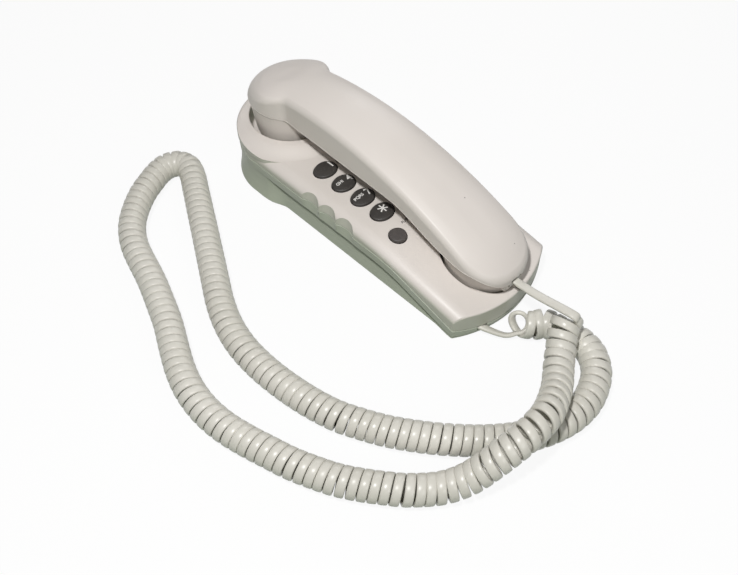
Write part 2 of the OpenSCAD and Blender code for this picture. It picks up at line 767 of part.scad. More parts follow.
module ringer_slider() {
    x1 = switch_x - slip;
    y0 = ring_sw_y - ring_sw_travel/2 - knob_l/2;
    y1 = y0 + knob_l;
    color("dimgray") {
        block(x1 - slider_t, x1, y0 - slider_lap, y1 + slider_lap,
            ring_sw_z - knob_h/2 - slider_lap, ring_sw_z + knob_h/2 + slider_lap);
        block(x1 - bite, hw, y0, y1, ring_sw_z - knob_h/2, ring_sw_z + knob_h/2);
    }
}

module ringer_switch() {
    x1 = switch_x - 2*slip - slider_t;
    color("darkslategray")
        block(switch_x - switch_w, x1, ring_sw_y - ring_sw_l/2, ring_sw_y + ring_sw_l/2,
            switch_low, ring_sw_z + knob_h/2 + switch_rim);
}

// Jacks and plugs

module line_jack() {
    w = socket_w/2 + jack_wall;
    y1 = line_jack_y;
    color("darkslategray") difference() {
        block(-w, w, y1 - line_jack_l, y1, floor_z, line_jack_z + socket_h/2 + jack_wall);
        block(-socket_w/2, socket_w/2, y1 - line_jack_l + jack_wall, y1 + over,
            line_jack_z - socket_h/2, line_jack_z + socket_h/2);
    }
}

module base_cord_jack() {
    low = floor_z - cord_jack_sink;
    roof = low + plug_sole + plug_h + 2*plug_gap;
    color("darkslategray") difference() {
        block(cord_jack_x - plug_w/2 - jack_wall, cord_jack_x + plug_w/2 + jack_wall,
            cord_jack_y, cord_jack_y + cord_jack_l, low, roof + jack_roof);
        block(cord_jack_x - plug_w/2 - plug_gap, cord_jack_x + plug_w/2 + plug_gap,
            cord_jack_y - over, cord_jack_y + plug_l + plug_gap, low + plug_sole, roof);
    }
}

module base_cord_plug() {
    low = floor_z - cord_jack_sink + plug_sole + plug_gap;
    color("gainsboro") block(cord_jack_x - plug_w/2, cord_jack_x + plug_w/2,
        cord_jack_y, cord_jack_y + plug_l, low, low + plug_h);
}

// Handset

module handset_outer_shell() {
    w = hand_wall;
    inner_seam = [for (p = hand_ring(w)) [p[0], p[1], hand_seam(p[1]) + seam_gap]];
    outer_seam = [for (p = hand_ring(0)) [p[0], p[1], hand_seam(p[1]) + seam_gap]];
    color("antiquewhite") difference() {
        union() {
            loft([
                hand_crown(crown_in, w + 0.4), hand_edge(90, w), hand_edge(45, w), hand_edge(0, w),
                inner_seam, outer_seam,
                hand_edge(0, 0), hand_edge(25, 0), hand_edge(50, 0), hand_edge(70, 0), hand_edge(90, 0),
                hand_crown(crown_in - 1, 0.4*crown), hand_crown(crown_in + 3, 0)
            ]);
            for (y = hand_screw_y)
                pin(0, y, pilot_boss_r, hand_seam(y) + hand_boss_up + slip, hand_top(y) - w/2);
        }
        for (y = hand_screw_y)
            pin(0, y, screw_r + screw_gap, hand_seam(y), hand_head(y) + hand_screw_l + 1);
        hand_jack_way(slip);
    }
}

function hand_head(y) = hand_seam(y) - 2.4;

module handset_inner_shell() {
    w = hand_wall;
    color("antiquewhite") difference() {
        union() {
            loft([
                hand_under(under_in, under_h), hand_under(0.75*under_in, 0.9*under_h),
                hand_under(0.4*under_in, 0.56*under_h), hand_under(0, seam_gap),
                hand_under(w, seam_gap), hand_under(w + 0.6, 0.35*floor_h), hand_under(w + 3, floor_h)
            ]);
            ear_cup(0, cup_face, hand_z - cup_rim);
            loft(concat(bulge_rings(0, bulge_low), [bulge_rim(bulge_rim_w, bulge_rim_l, 3, 0)]));
            for (y = hand_screw_y)
                pin(0, y, boss_r, hand_seam(y) - floor_h - bite, hand_seam(y) + hand_boss_up);
            for (y = [weight_y0 + rib_in, weight_y1 - rib_in])
                block(-weight_w/2, weight_w/2, y - rib_t/2, y + rib_t/2,
                    hand_seam(y) - floor_h - bite, weight_z);
        }
        ear_cup(cup_t, cup_face + cup_t, hand_z + 1);
        loft(concat(
            bulge_rings(-cup_t, bulge_low + cup_t),
            [bulge_rim(bulge_rim_w, bulge_rim_l, 2, -cup_t)]
        ));
        for (y = hand_screw_y) {
            pin(0, y, well_r, hand_seam(y) - under_h - over, hand_head(y));
            pin(0, y, screw_r + slip, hand_seam(y) - under_h, hand_seam(y) + over);
        }
        for (a = [0:60:300])
            pin(ear_grille_r*cos(a), ear_y + ear_grille_r*sin(a), sound_r,
                cup_face - over, cup_face + over);
        for (k = [-1:1]) pin(k*mouth_grille, mouth_y, sound_r, bulge_low - over, bulge_low + over);
        hand_jack_way(slip);
    }
}

// Ear cup with a little draft, standing on its face
module ear_cup(t, low, high) {
    r0 = cup_r - cup_draft - t;
    translate([0, ear_y, 0]) rotate_extrude() polygon([
        [0, low], [r0 - 2.6, low], [r0 - 0.8, low + 0.8], [r0, low + 2.6], [cup_r - t, high], [0, high]
    ]);
}

module handset_screws() {
    color("silver") for (y = hand_screw_y) translate([0, y, 0]) screw(hand_head(y), hand_screw_l);
}

module handset_weight() {
    color("slategray")
        block(-weight_w/2, weight_w/2, weight_y0, weight_y1, weight_z, weight_z + weight_h);
}

module receiver_gasket() {
    color("black") difference() {
        pin(0, ear_y, receiver_r, cup_face + cup_t, cup_face + cup_t + gasket_t);
        pin(0, ear_y, receiver_r - gasket_w, cup_face, cup_face + over);
    }
}

module receiver() {
    z0 = cup_face + cup_t + gasket_t;
    color("dimgray") {
        pin(0, ear_y, receiver_r, z0, z0 + 0.6*receiver_h);
        pin(0, ear_y, receiver_r - receiver_step, z0, z0 + receiver_h);
    }
}

module microphone_boot() {
    z0 = bulge_low + cup_t;
    color("black") difference() {
        pin(0, mouth_y, mic_r + boot_t, z0, z0 + mic_h);
        pin(0, mouth_y, mic_r + screw_gap, z0 + boot_t, z0 + mic_h + over);
        pin(0, mouth_y, mic_r - boot_lap, z0 - over, z0 + over);
    }
}

module microphone() {
    z0 = bulge_low + cup_t + boot_t;
    color("silver") pin(0, mouth_y, mic_r, z0, z0 + mic_h);
}

// Room for the jack inside the shells, and the way in for the plug
module hand_jack_way(gap) {
    w = plug_w/2 + jack_wall + gap;
    h = plug_h/2 + jack_roof + gap;
    y0 = tip_y + hand_jack_set;
    block(-w, w, y0 - gap, y0 + hand_jack_l + gap, hand_jack_z - h, hand_jack_z + h);
    block(-plug_w/2 - gap, plug_w/2 + gap, tip_y - over, y0,
        hand_jack_z - plug_h/2 - gap, hand_jack_z + plug_h/2 + gap);
}

module handset_jack() {
    w = plug_w/2 + jack_wall;
    h = plug_h/2 + jack_roof;
    y0 = tip_y + hand_jack_set;
    y1 = tip_y + hand_jack_in + plug_l + plug_gap;
    color("darkslategray") difference() {
        block(-w, w, y0, y0 + hand_jack_l, hand_jack_z - h, hand_jack_z + h);
        block(-plug_w/2 - plug_gap, plug_w/2 + plug_gap, y0 - over, y1,
            hand_jack_z - plug_h/2 - plug_gap, hand_jack_z + plug_h/2 + plug_gap);
    }
}

module handset_cord_plug() {
    y0 = tip_y + hand_jack_in;
    color("gainsboro")
        block(-plug_w/2, plug_w/2, y0, y0 + plug_l, hand_jack_z - plug_h/2, hand_jack_z + plug_h/2);
}

// Cord

function spline(a, b, c, d, t) =
    ((2*b) + (c - a)*t + (2*a - 5*b + 4*c - d)*t*t + (3*b - a - 3*c + d)*t*t*t)/2;
function at(p, i) = i < 0 ? 2*p[0] - p[1] : i >= len(p) ? 2*p[len(p) - 1] - p[len(p) - 2] : p[i];
function curve(p, steps) = concat(
    [for (i = [0:len(p) - 2]) for (k = [0:steps - 1])
        spline(at(p, i - 1), p[i], p[i + 1], at(p, i + 2), k/steps)],
    [p[len(p) - 1]]
);
function unit(v) = v/norm(v);
function tangents(p) = [for (i = [0:len(p) - 1]) unit(at(p, i + 1) - at(p, i - 1))];

// Running sums of a list, from nought
function run_up(list) =
    [for (i = 0, s = 0; i <= len(list); s = s + (i < len(list) ? list[i] : 0), i = i + 1) s];

// Flat six-sided section at a point: across runs along the width, rise along the thickness
function section(c, across, rise) =
    [for (q = [[-0.5, 0], [-0.32, -0.5], [0.32, -0.5], [0.5, 0], [0.32, 0.5], [-0.32, 0.5]])
        c + q[0]*cord_w*across + q[1]*cord_t*rise];

module tube(rings) {
    n = len(rings[0]);
    m = len(rings);
    polyhedron(
        points = [for (r = rings) each r],
        faces = concat(
            [[for (i = [0:n - 1]) i]],
            [for (r = [0:m - 2]) each band(n, r*n)],
            [[for (i = [n - 1:-1:0]) (m - 1)*n + i]]
        )
    );
}

// Frames along the coil: a point, its radial direction and the way along the cord.
// The curls open where the axis bends, so that they stay apart on the inner side.
axis_pts = curve(route, route_steps);
axis_tan = tangents(axis_pts);
axis_step = [for (i = [1:len(axis_pts) - 1]) norm(axis_pts[i] - axis_pts[i - 1])];
axis_turn = run_up([for (i = [1:len(axis_pts) - 1])
    axis_step[i - 1] - bend_share*curl_r*norm(axis_tan[i] - axis_tan[i - 1])]);
coil_l = run_up(axis_step)[len(axis_step)];
ring_count = round(curls*curl_rings);
turn_table = [for (k = [0:len(axis_turn) - 1]) [axis_turn[k], k]];
axis_of = [for (i = [0:ring_count]) lookup(axis_turn[len(axis_turn) - 1]*i/ring_count, turn_table)];
function mid(list, u) = let (k = min(len(list) - 2, floor(u))) lerp(list[k], list[k + 1], u - k);
function coil_frame(i) =
    let (c = mid(axis_pts, axis_of[i]), t = unit(mid(axis_tan, axis_of[i])))
    let (s = unit(cross([0, 0, 1], t)), u = cross(t, s), a = -90 - 360*i/curl_rings)
    let (out = s*cos(a) + u*sin(a), way = unit(s*sin(a) - u*cos(a) + t*coil_l/(curls*2*PI*curl_r)))
    [c + out*curl_r*lerp(first_curl, 1, smooth(i/(curl_ease*curl_rings))), out, way];
function coil_end(i, way) =
    let (f = coil_frame(i))
    [f[0] + f[2]*way*cord_w, f[1], f[2]];
function coil_section(f) = section(f[0], cross(f[1], f[2]), f[1]);

module cord_curl() {
    frames = concat(
        [coil_end(0, -1)],
        [for (i = [0:ring_count]) coil_frame(i)],
        [coil_end(ring_count, 1)]
    );
    rings = [for (f = frames) coil_section(f)];
    gaps = [for (i = [1:ring_count]) for (j = [i + near_rings:1:ring_count])
        if (norm(frames[i][0] - frames[j][0]) < near_d)
            min([for (p = rings[i]) for (q = rings[j]) norm(p - q)])];
    echo(least_gap_of_the_coil_to_itself_mm = min(gaps));
    echo(coil_axis_length_mm = coil_l);
    color("oldlace") tube(rings);
}

// Plain lead through hand-chosen points, its first and last stretch running straight
module lead(points, steps, out0, out1) {
    c = curve(points, steps);
    t = tangents(c);
    m = len(c) - 1;
    color("oldlace") tube([for (i = [0:m])
        let (rise = unit(lerp(out0, out1, i/m)), side = unit(cross(rise, t[i])))
        section(c[i], side, cross(t[i], side))]);
}

module cord_base_lead() {
    f = coil_end(0, -1);
    y0 = cord_jack_y;
    lead([
        [cord_jack_x, y0, cord_exit_z], [cord_jack_x, y0 - cord_w, cord_exit_z],
        [cord_jack_x + 0.2, y0 - 7, cord_exit_z - 0.4], f[0] - f[2]*cord_w, f[0]
    ], 3, [0, 0, -1], f[1]);
}

module cord_handset_lead() {
    f = coil_end(ring_count, 1);
    y0 = tip_y + hand_jack_in - slip;
    lead([
        f[0], f[0] + f[2]*cord_w, [-0.4, -118, 28], [0, y0 - cord_w, hand_jack_z], [0, y0, hand_jack_z]
    ], 4, f[1], [0, 0, 1]);
}

base_top_cover();
base_bottom_cover();
base_feet();
base_screws();
keypad_board();
board_screws();
key_mat();
hook_switch();
hook_spring();
hook_plunger();
ringer_disc();
ringer_switch();
ringer_slider();
line_jack();
base_cord_jack();
base_cord_plug();
handset_outer_shell();
handset_inner_shell();
handset_screws();
handset_weight();
receiver();
receiver_gasket();
microphone();
microphone_boot();
handset_jack();
handset_cord_plug();
cord_base_lead();
cord_curl();
cord_handset_lead();
for (k = KEYS) key_cap(k[1]*key_pitch_x, key_y(k[2]), key_w, key_d, stub_h);
for (k = ROUNDS) key_cap(k[1]*round_x, round_y, round_d, round_d, round_stub_h);
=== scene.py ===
import math
import bmesh
import bpy
import numpy as np
from mathutils import Matrix, Vector


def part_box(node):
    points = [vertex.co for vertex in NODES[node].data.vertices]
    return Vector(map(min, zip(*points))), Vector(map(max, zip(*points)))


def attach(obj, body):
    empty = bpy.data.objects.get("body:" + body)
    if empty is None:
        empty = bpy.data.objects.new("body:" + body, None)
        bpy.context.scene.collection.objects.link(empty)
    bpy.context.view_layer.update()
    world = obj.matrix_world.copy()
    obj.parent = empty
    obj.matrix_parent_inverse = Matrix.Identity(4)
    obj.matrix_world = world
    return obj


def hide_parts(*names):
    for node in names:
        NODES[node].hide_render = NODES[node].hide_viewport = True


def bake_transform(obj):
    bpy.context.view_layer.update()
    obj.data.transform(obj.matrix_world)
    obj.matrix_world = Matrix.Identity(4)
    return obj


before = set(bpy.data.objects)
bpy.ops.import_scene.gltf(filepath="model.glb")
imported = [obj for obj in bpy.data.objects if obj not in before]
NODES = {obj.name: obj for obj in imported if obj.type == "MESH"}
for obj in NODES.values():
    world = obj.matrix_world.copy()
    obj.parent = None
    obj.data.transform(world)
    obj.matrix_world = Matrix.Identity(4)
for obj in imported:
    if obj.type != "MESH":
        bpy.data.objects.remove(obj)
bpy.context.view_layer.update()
MM = 0.001
scene = bpy.context.scene
scene.view_settings.view_transform = "Standard"


def add(name, data):
    """New object in the scene."""
    obj = bpy.data.objects.new(name, data)
    scene.collection.objects.link(obj)
    return obj


# Camera at the photograph's viewing angle, in a frame of 738 by 575

F_PX, FRAME_W, SENSOR_W = 836.296, 738, 36
AZ, EL = math.radians(-45.006), math.radians(52.846)
CAMERA_AT = (-246.37, -239.11, 377.76)
back = Vector((math.sin(AZ)*math.cos(EL), -math.cos(AZ)*math.cos(EL), math.sin(EL)))
right = Vector((math.cos(AZ), math.sin(AZ), 0))
up = back.cross(right)
cam = bpy.data.cameras.new("camera")
cam.sensor_fit = "HORIZONTAL"
cam.sensor_width = SENSOR_W
cam.lens = F_PX*SENSOR_W/FRAME_W
cam.clip_end = 20
cam_obj = add("camera", cam)
turn = Matrix((right, up, back)).transposed().to_4x4()
cam_obj.matrix_world = Matrix.Translation(Vector(CAMERA_AT)*MM) @ turn
scene.camera = cam_obj


# Mesh helpers: everything is drawn in millimetres and scaled once

def piece(name, verts, faces, smooth_deg=40):
    mesh = bpy.data.meshes.new(name)
    mesh.from_pydata([tuple(float(c)*MM for c in v) for v in verts], [], [tuple(f) for f in faces])
    obj = add(name, mesh)
    dress(obj, smooth_deg)
    return obj


def dress(obj, smooth_deg):
    """Outward normals, smooth faces, and sharp edges above an angle."""
    bm = bmesh.new()
    bm.from_mesh(obj.data)
    bmesh.ops.remove_doubles(bm, verts=bm.verts, dist=1e-7)
    bmesh.ops.recalc_face_normals(bm, faces=bm.faces)
    limit = math.radians(smooth_deg)
    for f in bm.faces:
        f.smooth = True
    for e in bm.edges:
        e.smooth = len(e.link_faces) == 2 and e.calc_face_angle(0) < limit
    bm.to_mesh(obj.data)
    bm.free()


def loft(name, rings, smooth_deg=40):
    """Skin over mirrored rings, closed by strips across the middle line."""
    n, m = len(rings[0]), len(rings)
    faces = []
    for r in range(m - 1):
        for i in range(n):
            j = (i + 1) % n
            faces.append((r*n + i, r*n + j, (r + 1)*n + j, (r + 1)*n + i))
    for at in (0, (m - 1)*n):
        faces.append((at, at + 1, at + n - 1))
        faces += [(at + k, at + k + 1, at + n - k - 1, at + n - k) for k in range(1, n//2 - 1)]
        faces.append((at + n//2 - 1, at + n//2, at + n//2 + 1))
    return piece(name, [p for r in rings for p in r], faces, smooth_deg)


def stack(name, rings, smooth_deg=40):
    """Skin over rings, with one flat face at each end."""
    n, m = len(rings[0]), len(rings)
    verts = [p for r in rings for p in r]
    faces = [(r*n + i, r*n + (i + 1) % n, (r + 1)*n + (i + 1) % n, (r + 1)*n + i)
             for r in range(m - 1) for i in range(n)]
    faces += [tuple(range(n)), tuple((m - 1)*n + i for i in range(n))]
    return piece(name, verts, faces, smooth_deg)


def lathe(name, profile, centre, sides=96):
    """Turned solid with flat ends, from (radius, height) pairs."""
    rings = [[(centre[0] + r*math.cos(2*math.pi*i/sides), centre[1] + r*math.sin(2*math.pi*i/sides), z)
              for i in range(sides)] for r, z in profile]
    return stack(name, rings)


def box(name, x0, x1, y0, y1, z0, z1):
    ring = [(x0, y0), (x1, y0), (x1, y1), (x0, y1)]
    return stack(name, [[(x, y, z0) for x, y in ring], [(x, y, z1) for x, y in ring]])


def merge(name, objs):
    """One object from several that don't touch."""
    bm = bmesh.new()
    for o in objs:
        bm.from_mesh(o.data)
        bpy.data.objects.remove(o)
    mesh = bpy.data.meshes.new(name)
    bm.to_mesh(mesh)
    bm.free()
    return add(name, mesh)


def boolean(a, b, operation):
    """Combine b into a, and remove b."""
    mod = a.modifiers.new("cut", "BOOLEAN")
    mod.operation = operation
    mod.solver = "MANIFOLD"
    mod.object = b
    deps = bpy.context.evaluated_depsgraph_get()
    mesh = bpy.data.meshes.new_from_object(a.evaluated_get(deps))
    a.modifiers.clear()
    if len(mesh.polygons) == len(a.data.polygons):
        raise RuntimeError(f"{operation} left {a.name} as it was")
    a.data = mesh
    bpy.data.objects.remove(b)
    return a


def finish_solid(obj, smooth_deg=32):
    """Normals of a shell after its last cut."""
    dress(obj, smooth_deg)
    mod = obj.modifiers.new("normals", "WEIGHTED_NORMAL")
    mod.keep_sharp = True
    return obj


def smooth(t):
    u = min(1, max(0, t))
    return u*u*(3 - 2*u)


def lerp(a, b, t):
    return a + (b - a)*t


def steps(a, b, n):
    return [lerp(a, b, i/n) for i in range(n + 1)]


def sind(a):
    return math.sin(math.radians(a))


def cosd(a):
    return math.cos(math.radians(a))


# Cord: the coil's axis through its first ring, along the table and up to the handset

AXIS_Z = 8.4
FIRST_RING = [(-8.1, -114, 7), (-4, -120.8, 7.4)]
TABLE = [
    (1.5, -125.5), (3.5, -135.5), (5, -145), (3, -154), (-3, -161.5), (-11.5, -166.5), (-22, -169.5),
    (-33, -169.5), (-43.5, -167), (-54, -162.5), (-65, -155.5), (-75.5, -146.5), (-84.5, -137), (-92, -128),
    (-99, -118.5), (-105.5, -108.5), (-111, -98), (-116, -87), (-119.5, -75), (-122, -62), (-123.5, -49),
    (-124, -35.5), (-123, -21), (-119.5, -6), (-113.5, 8.5), (-105.5, 23), (-97, 38), (-88, 54), (-78.5, 71),
    (-69.5, 87), (-64, 97), (-61.5, 105), (-64, 111.5), (-70.5, 114.5), (-78, 113.5), (-85.5, 110.5),
    (-93, 107), (-100, 102.5), (-107, 97), (-113.5, 90.5), (-119, 82.5), (-123, 74), (-126, 64.5),
    (-130.5, 48.5), (-136, 33), (-142, 17.5), (-149, 3), (-155, -10.5), (-159, -24), (-160.5, -38),
    (-159.5, -52), (-156.5, -65.5), (-153, -77.5), (-149.5, -89), (-145, -100), (-140, -110.5), (-134, -120),
    (-127, -129.5), (-119.5, -138.5), (-108, -148.5),
]
RISE = [
    (-97, -155.5, 12.5), (-86, -160, 20), (-75, -163, 25.5), (-64, -164.5, 28), (-53, -164, 28),
    (-42, -160.5, 24), (-31, -155.5, 19), (-21.5, -149.5, 17), (-13.5, -144.5, 17.5), (-6.5, -141, 20),
    (0.5, -139.5, 23),
]
ROUTE = FIRST_RING + [(x, y, AXIS_Z) for x, y in TABLE] + RISE
CURL_R, CURLS, CURL_STEPS = 6.8, 171.375, 24
CORD_W, CORD_T, CORD_SIDES, CORD_ROUND = 4.75, 2.4, 12, 0.55
# The first ring is small, stands open and apart, and leads into the even curls.
# A curl number and a run of curls say where each change takes place.
FIRST_CURL, CURL_EASE = 0.8, 1.8
SET_OFF, SET_OFF_SOFT = 0.7, 0.3
FIRST_GAP, GAP_AT, GAP_RUN = 2.8, 0.55, 0.9
FIRST_WAY, WAY_AT, WAY_RUN = np.array([0.427, 0.427, -0.797]), 0.1, 1.6
# Curls stand wider in an open bend, and closer in one under this radius
BEND_SHARE, TIGHT_SHARE, TIGHT_R = 0.6, -0.2, 26
# The last curls stand wider, and end a little nearer the handset than the route does
LAST_LOOSE, LAST_STRETCH = 15, 2.4
END_RUN, END_SHIFT = 16, np.array([1.2, 2.9, 1.5])
# Size, rate and phase of the waves in the spacing, and the curls over which they fade at the ends
WANDER, WANDER_FADE = ((0.2, 0.61, 0.0), (0.3, 0.173, 1.0), (0.1, 1.37, 2.0)), 4


def spline(points, n):
    """Smooth curve through points, with n steps between two."""
    p = np.array(points, float)
    e = np.vstack([2*p[0] - p[1], p, 2*p[-1] - p[-2]])
    out = []
    for i in range(len(p) - 1):
        a, b, c, d = e[i:i + 4]
        for k in range(n):
            t = k/n
            out.append((2*b + (c - a)*t + (2*a - 5*b + 4*c - d)*t*t + (3*b - a - 3*c + d)*t**3)/2)
    return np.array(out + [p[-1]])


def unit(v):
    return v/np.linalg.norm(v, axis=-1, keepdims=True)


def smooth_at(t):
    t = np.clip(t, 0, 1)
    return t*t*(3 - 2*t)


def along(rows, at):
    """Rows read between their places."""
    return np.stack([np.interp(at, np.arange(len(rows)), rows[:, k]) for k in range(3)], 1)


def turning(a, b, n):
    """Directions that turn evenly from one to another."""
    return lerp(a[None], b[None], np.linspace(0, 1, n)[:, None])


def length_left(path):
    """Length from each point of a path to its end."""
    step = np.linalg.norm(np.diff(path, axis=0), axis=1)
    return np.concatenate([np.cumsum(step[::-1])[::-1], [0]])


def flat_tube(name, path, rise):
    """Flat cord with rounded edges along a path; rise is the direction of its thickness."""
    path = np.array(path, float)
    way = unit(np.gradient(path, axis=0))
    rise = unit(rise - (rise*way).sum(1, keepdims=True)*way)
    across = np.cross(way, rise)
    a = np.arange(CORD_SIDES)*2*np.pi/CORD_SIDES
    u = np.sign(np.cos(a))*np.abs(np.cos(a))**CORD_ROUND*CORD_W/2
    v = np.sign(np.sin(a))*np.abs(np.sin(a))**CORD_ROUND*CORD_T/2
    rings = path[:, None] + u[None, :, None]*across[:, None] + v[None, :, None]*rise[:, None]
    return stack(name, rings.tolist(), 60)


def coil_path():
    """Points of the coil and the outward direction at each."""
    axis = spline(ROUTE, 12)
    axis += smooth_at(1 - length_left(axis)/END_RUN)[:, None]*END_SHIFT
    way = unit(np.gradient(axis, axis=0))
    step = np.linalg.norm(np.diff(axis, axis=0), axis=1)
    bend = np.linalg.norm(np.diff(way, axis=0), axis=1)
    share = np.where(bend > step/TIGHT_R, TIGHT_SHARE, BEND_SHARE)
    turns = np.concatenate([[0], np.cumsum(step - share*CURL_R*bend)])
    curl = np.arange(round(CURLS*CURL_STEPS) + 1)/CURL_STEPS
    past = (curl - SET_OFF + np.sqrt((curl - SET_OFF)**2 + SET_OFF_SOFT**2))/2
    past += LAST_STRETCH*smooth_at((curl - CURLS + LAST_LOOSE)/LAST_LOOSE)
    pitch = (turns[-1] - FIRST_GAP)/past[-1]
    uneven = sum(size*np.sin(curl*rate + phase) for size, rate, phase in WANDER)
    fade = np.clip(np.minimum(curl, CURLS - curl)/WANDER_FADE, 0, 1)
    place = pitch*past + FIRST_GAP*smooth_at((curl - GAP_AT)/GAP_RUN) + uneven*fade
    at = np.interp(place, turns, np.arange(len(turns)))
    c, t = along(axis, at), unit(along(way, at))
    t = unit(FIRST_WAY + smooth_at((curl - WAY_AT)/WAY_RUN)[:, None]*(t - FIRST_WAY))
    s = unit(np.cross([0, 0, 1], t))
    u = np.cross(t, s)
    a = np.radians(-90 - 360*curl)[:, None]
    out = s*np.cos(a) + u*np.sin(a)
    r = CURL_R*(FIRST_CURL + (1 - FIRST_CURL)*smooth_at(curl/CURL_EASE))
    return c + out*r[:, None], out


coil, coil_out = coil_path()
first_way = unit(coil[1] - coil[0])
last_way = unit(coil[-1] - coil[-2])

# Base lead and coil in one unbroken piece
JACK_X, JACK_Y, EXIT_Z = -22, -96.6, 4.6
STRAIGHT, RUN_IN = 4.6, 7.5
UP = np.array([0, 0, 1.0])
run_in = spline([
    (JACK_X, JACK_Y, EXIT_Z), (JACK_X, JACK_Y - STRAIGHT, EXIT_Z), coil[0] - first_way*RUN_IN, coil[0],
], 8)[:-1]
main_path = np.vstack([run_in, coil])
main_cord = flat_tube("curly_cord", main_path, np.vstack([turning(-UP, coil_out[0], len(run_in)), coil_out]))

# Handset lead, from the end of the coil to the plug in the handset
HAND_JACK_Y, HAND_JACK_Z, LEAD_MID = -102.4, 26.5, (-0.4, -118, 28)
lead_path = spline([
    coil[-1], coil[-1] + last_way*STRAIGHT, LEAD_MID,
    (0, HAND_JACK_Y - STRAIGHT, HAND_JACK_Z), (0, HAND_JACK_Y, HAND_JACK_Z),
], 6)
lead_cord = flat_tube("handset_lead", lead_path, turning(coil_out[-1], UP, len(lead_path)))


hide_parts("cord_base_lead", "cord_curl")
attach(main_cord, "base")
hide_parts("cord_handset_lead")
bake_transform(lead_cord)


# Base outline, deck and seam, from the same curves as the part's source

BASE_W, BASE_L, DECK_Z, MOUTH_Z, END_BOW = 76, 210, 30.5, 18, 11.5
ROLL_W, ROLL_H, SEAM_Z, BAND_H, PLINTH_IN, WALL = 8, 5.5, 23, 6, 1.2, 2.2
FLUTE_DEPTH, FLUTE_R, FLUTE_PITCH, FLUTE_MID, FLUTE_END, CREST = 3.2, 9.1, 14, 3, -1.5, 0.16
FOOT_H, CREASE, END_ROLL, CORNER_R, CHAMFER, LEG_FLARE, PLINTH_LEAN = 0.8, 0.4, 1.1, 1.4, 0.6, 3, 2.2
LEG_Y, LEG_BLEND, LIP_BLEND, BEND_BLEND, DECK_BEND_Y, SEAM_BEND_Y = 52, 12, 4, 25, -20, -32
HW, Y_MOUTH = BASE_W/2, -BASE_L/2
EAR_C, EAR_Y, MOUTH_Y = BASE_L/2 - HW, BASE_L/2 - 30.3, -BASE_L/2 + 28
BOW_R = (HW*HW + END_BOW*END_BOW)/(2*END_BOW)
BOW_C = Y_MOUTH + BOW_R
FLOOR_Z, FLOOR_STEP, FLOOR_IN, SEAM_KEEP = FOOT_H + WALL, 0.6, 0.4, 0.5
SEAM_END, LIP_END = FLOOR_Z + 2.2, FLOOR_Z
DECK_SLOPE = (DECK_Z - MOUTH_Z)/(DECK_BEND_Y - Y_MOUTH - BEND_BLEND/2)
SEAM_SLOPE = (SEAM_Z - SEAM_END)/(SEAM_BEND_Y - Y_MOUTH - BEND_BLEND/2)
SEAM_GAP = 0.1
EDGE, LEDGE, SEAM_FLUTE, LIP_FLUTE, BAND_PROUD, HAIR = 0.2, 0.45, 0.6, 0.1, 0.15, 0.02
EAR_RECESS_R, RING_RISE, EAR_RECESS_D, CUP_WALL = 25.7, 3.5, 8.5, 2
RING_Z, EAR_FLOOR = DECK_Z + RING_RISE, DECK_Z - EAR_RECESS_D
RING_TOP_R, RING_SLOPE, RING_EDGE, RING_PROUD, RING_SINK = 29, 12, 3, 0.6, 0.05
COLLAR_LOW, COLLAR_Z, COLLAR_T, COLLAR_KEEP = 24, 28.6, 4, (-60, 60, 52, 120, 20, 40)
COLLAR_EDGE = ((HAIR, 0.5), (0.17, 0.15), (0.5, 0))
RECESS_FOOT, RECESS_FILLET, RECESS_LIP, HOOK_HOLE_R, HOOK_Y = 2.6, 2, 1.2, 4.35, EAR_Y - 12
MOUTH_FLOOR, MOUTH_GAP, MOUTH_HOLE_W, MOUTH_HOLE_L, MOUTH_LIP = FLOOR_Z + 6.5, 0.9, 17.6, 22.4, 0.9
PASSAGE_W, PASSAGE_H = 3, 1.9
# Openings of the bottom cover; THROUGH and CLEAR are how far a cut runs past a wall
SCREWS_X, SCREWS_Y, WELL_R, WELL_TOP = (-29, 29), (-54, 45), 3.1, 5
FEET_X, FEET_Y, FOOT_R, FOOT_SINK = (-25, 25), (-80, 70), 5.3, 0.5
SOUND_R, RINGER_Y, RINGER_RING = 1.1, 4, 5
SLOTS_Y, SLOT_R, SLOT_W, SLOT_RUN = (-44, 40), 4.6, 2.3, 8
SWITCH_WINDOW = (34.3, HW + 5, 53.2, 62.8, 14.9, 18.5)
LINE_WINDOW = (-5.3, 5.3, 99.5, 110, 4.2, 11.8)
THROUGH, CLEAR = 5, 6
# Steps along the outline: mouth end, corner, plain side, flutes and ear end
BOW_N, CORNER_N, SIDE_N, FLUTE_N, EAR_N, CORNER_MIN = 30, 8, 24, 88, 40, 0.5
# Kinds of side: the deck's with whole flutes, the band's with part of them, and the plinth's
DECK, BAND, PLINTH = 0, 1, 2


def fall(y, start, slope):
    """Drop of a line that bends down softly past a start."""
    t = start - y
    return 0 if t <= 0 else slope*t*t/(2*BEND_BLEND) if t < BEND_BLEND else slope*(t - BEND_BLEND/2)


def deck_at(y):
    return DECK_Z - fall(y, DECK_BEND_Y, DECK_SLOPE)


def seam_at(y):
    return max(SEAM_END, SEAM_Z - fall(y, SEAM_BEND_Y, SEAM_SLOPE))


def lip_at(y):
    return max(LIP_END, seam_at(y) - BAND_H)


def roll_drop(e):
    """Drop of the deck's rolled edge at an inset."""
    return 0 if e >= ROLL_W else ROLL_H*(1 - math.sqrt(max(0, 1 - (1 - e/ROLL_W)**2)))


def flute_at(y):
    """Depth of the three finger flutes."""
    k = min(1, max(-1, round((y - FLUTE_MID)/FLUTE_PITCH)))
    u = min(FLUTE_R, abs(y - FLUTE_MID - k*FLUTE_PITCH))
    d = FLUTE_DEPTH - FLUTE_R + math.sqrt(FLUTE_R*FLUTE_R - u*u)
    # Softened crests
    return (d + math.sqrt(d*d + CREST))/2 if d > FLUTE_END else 0


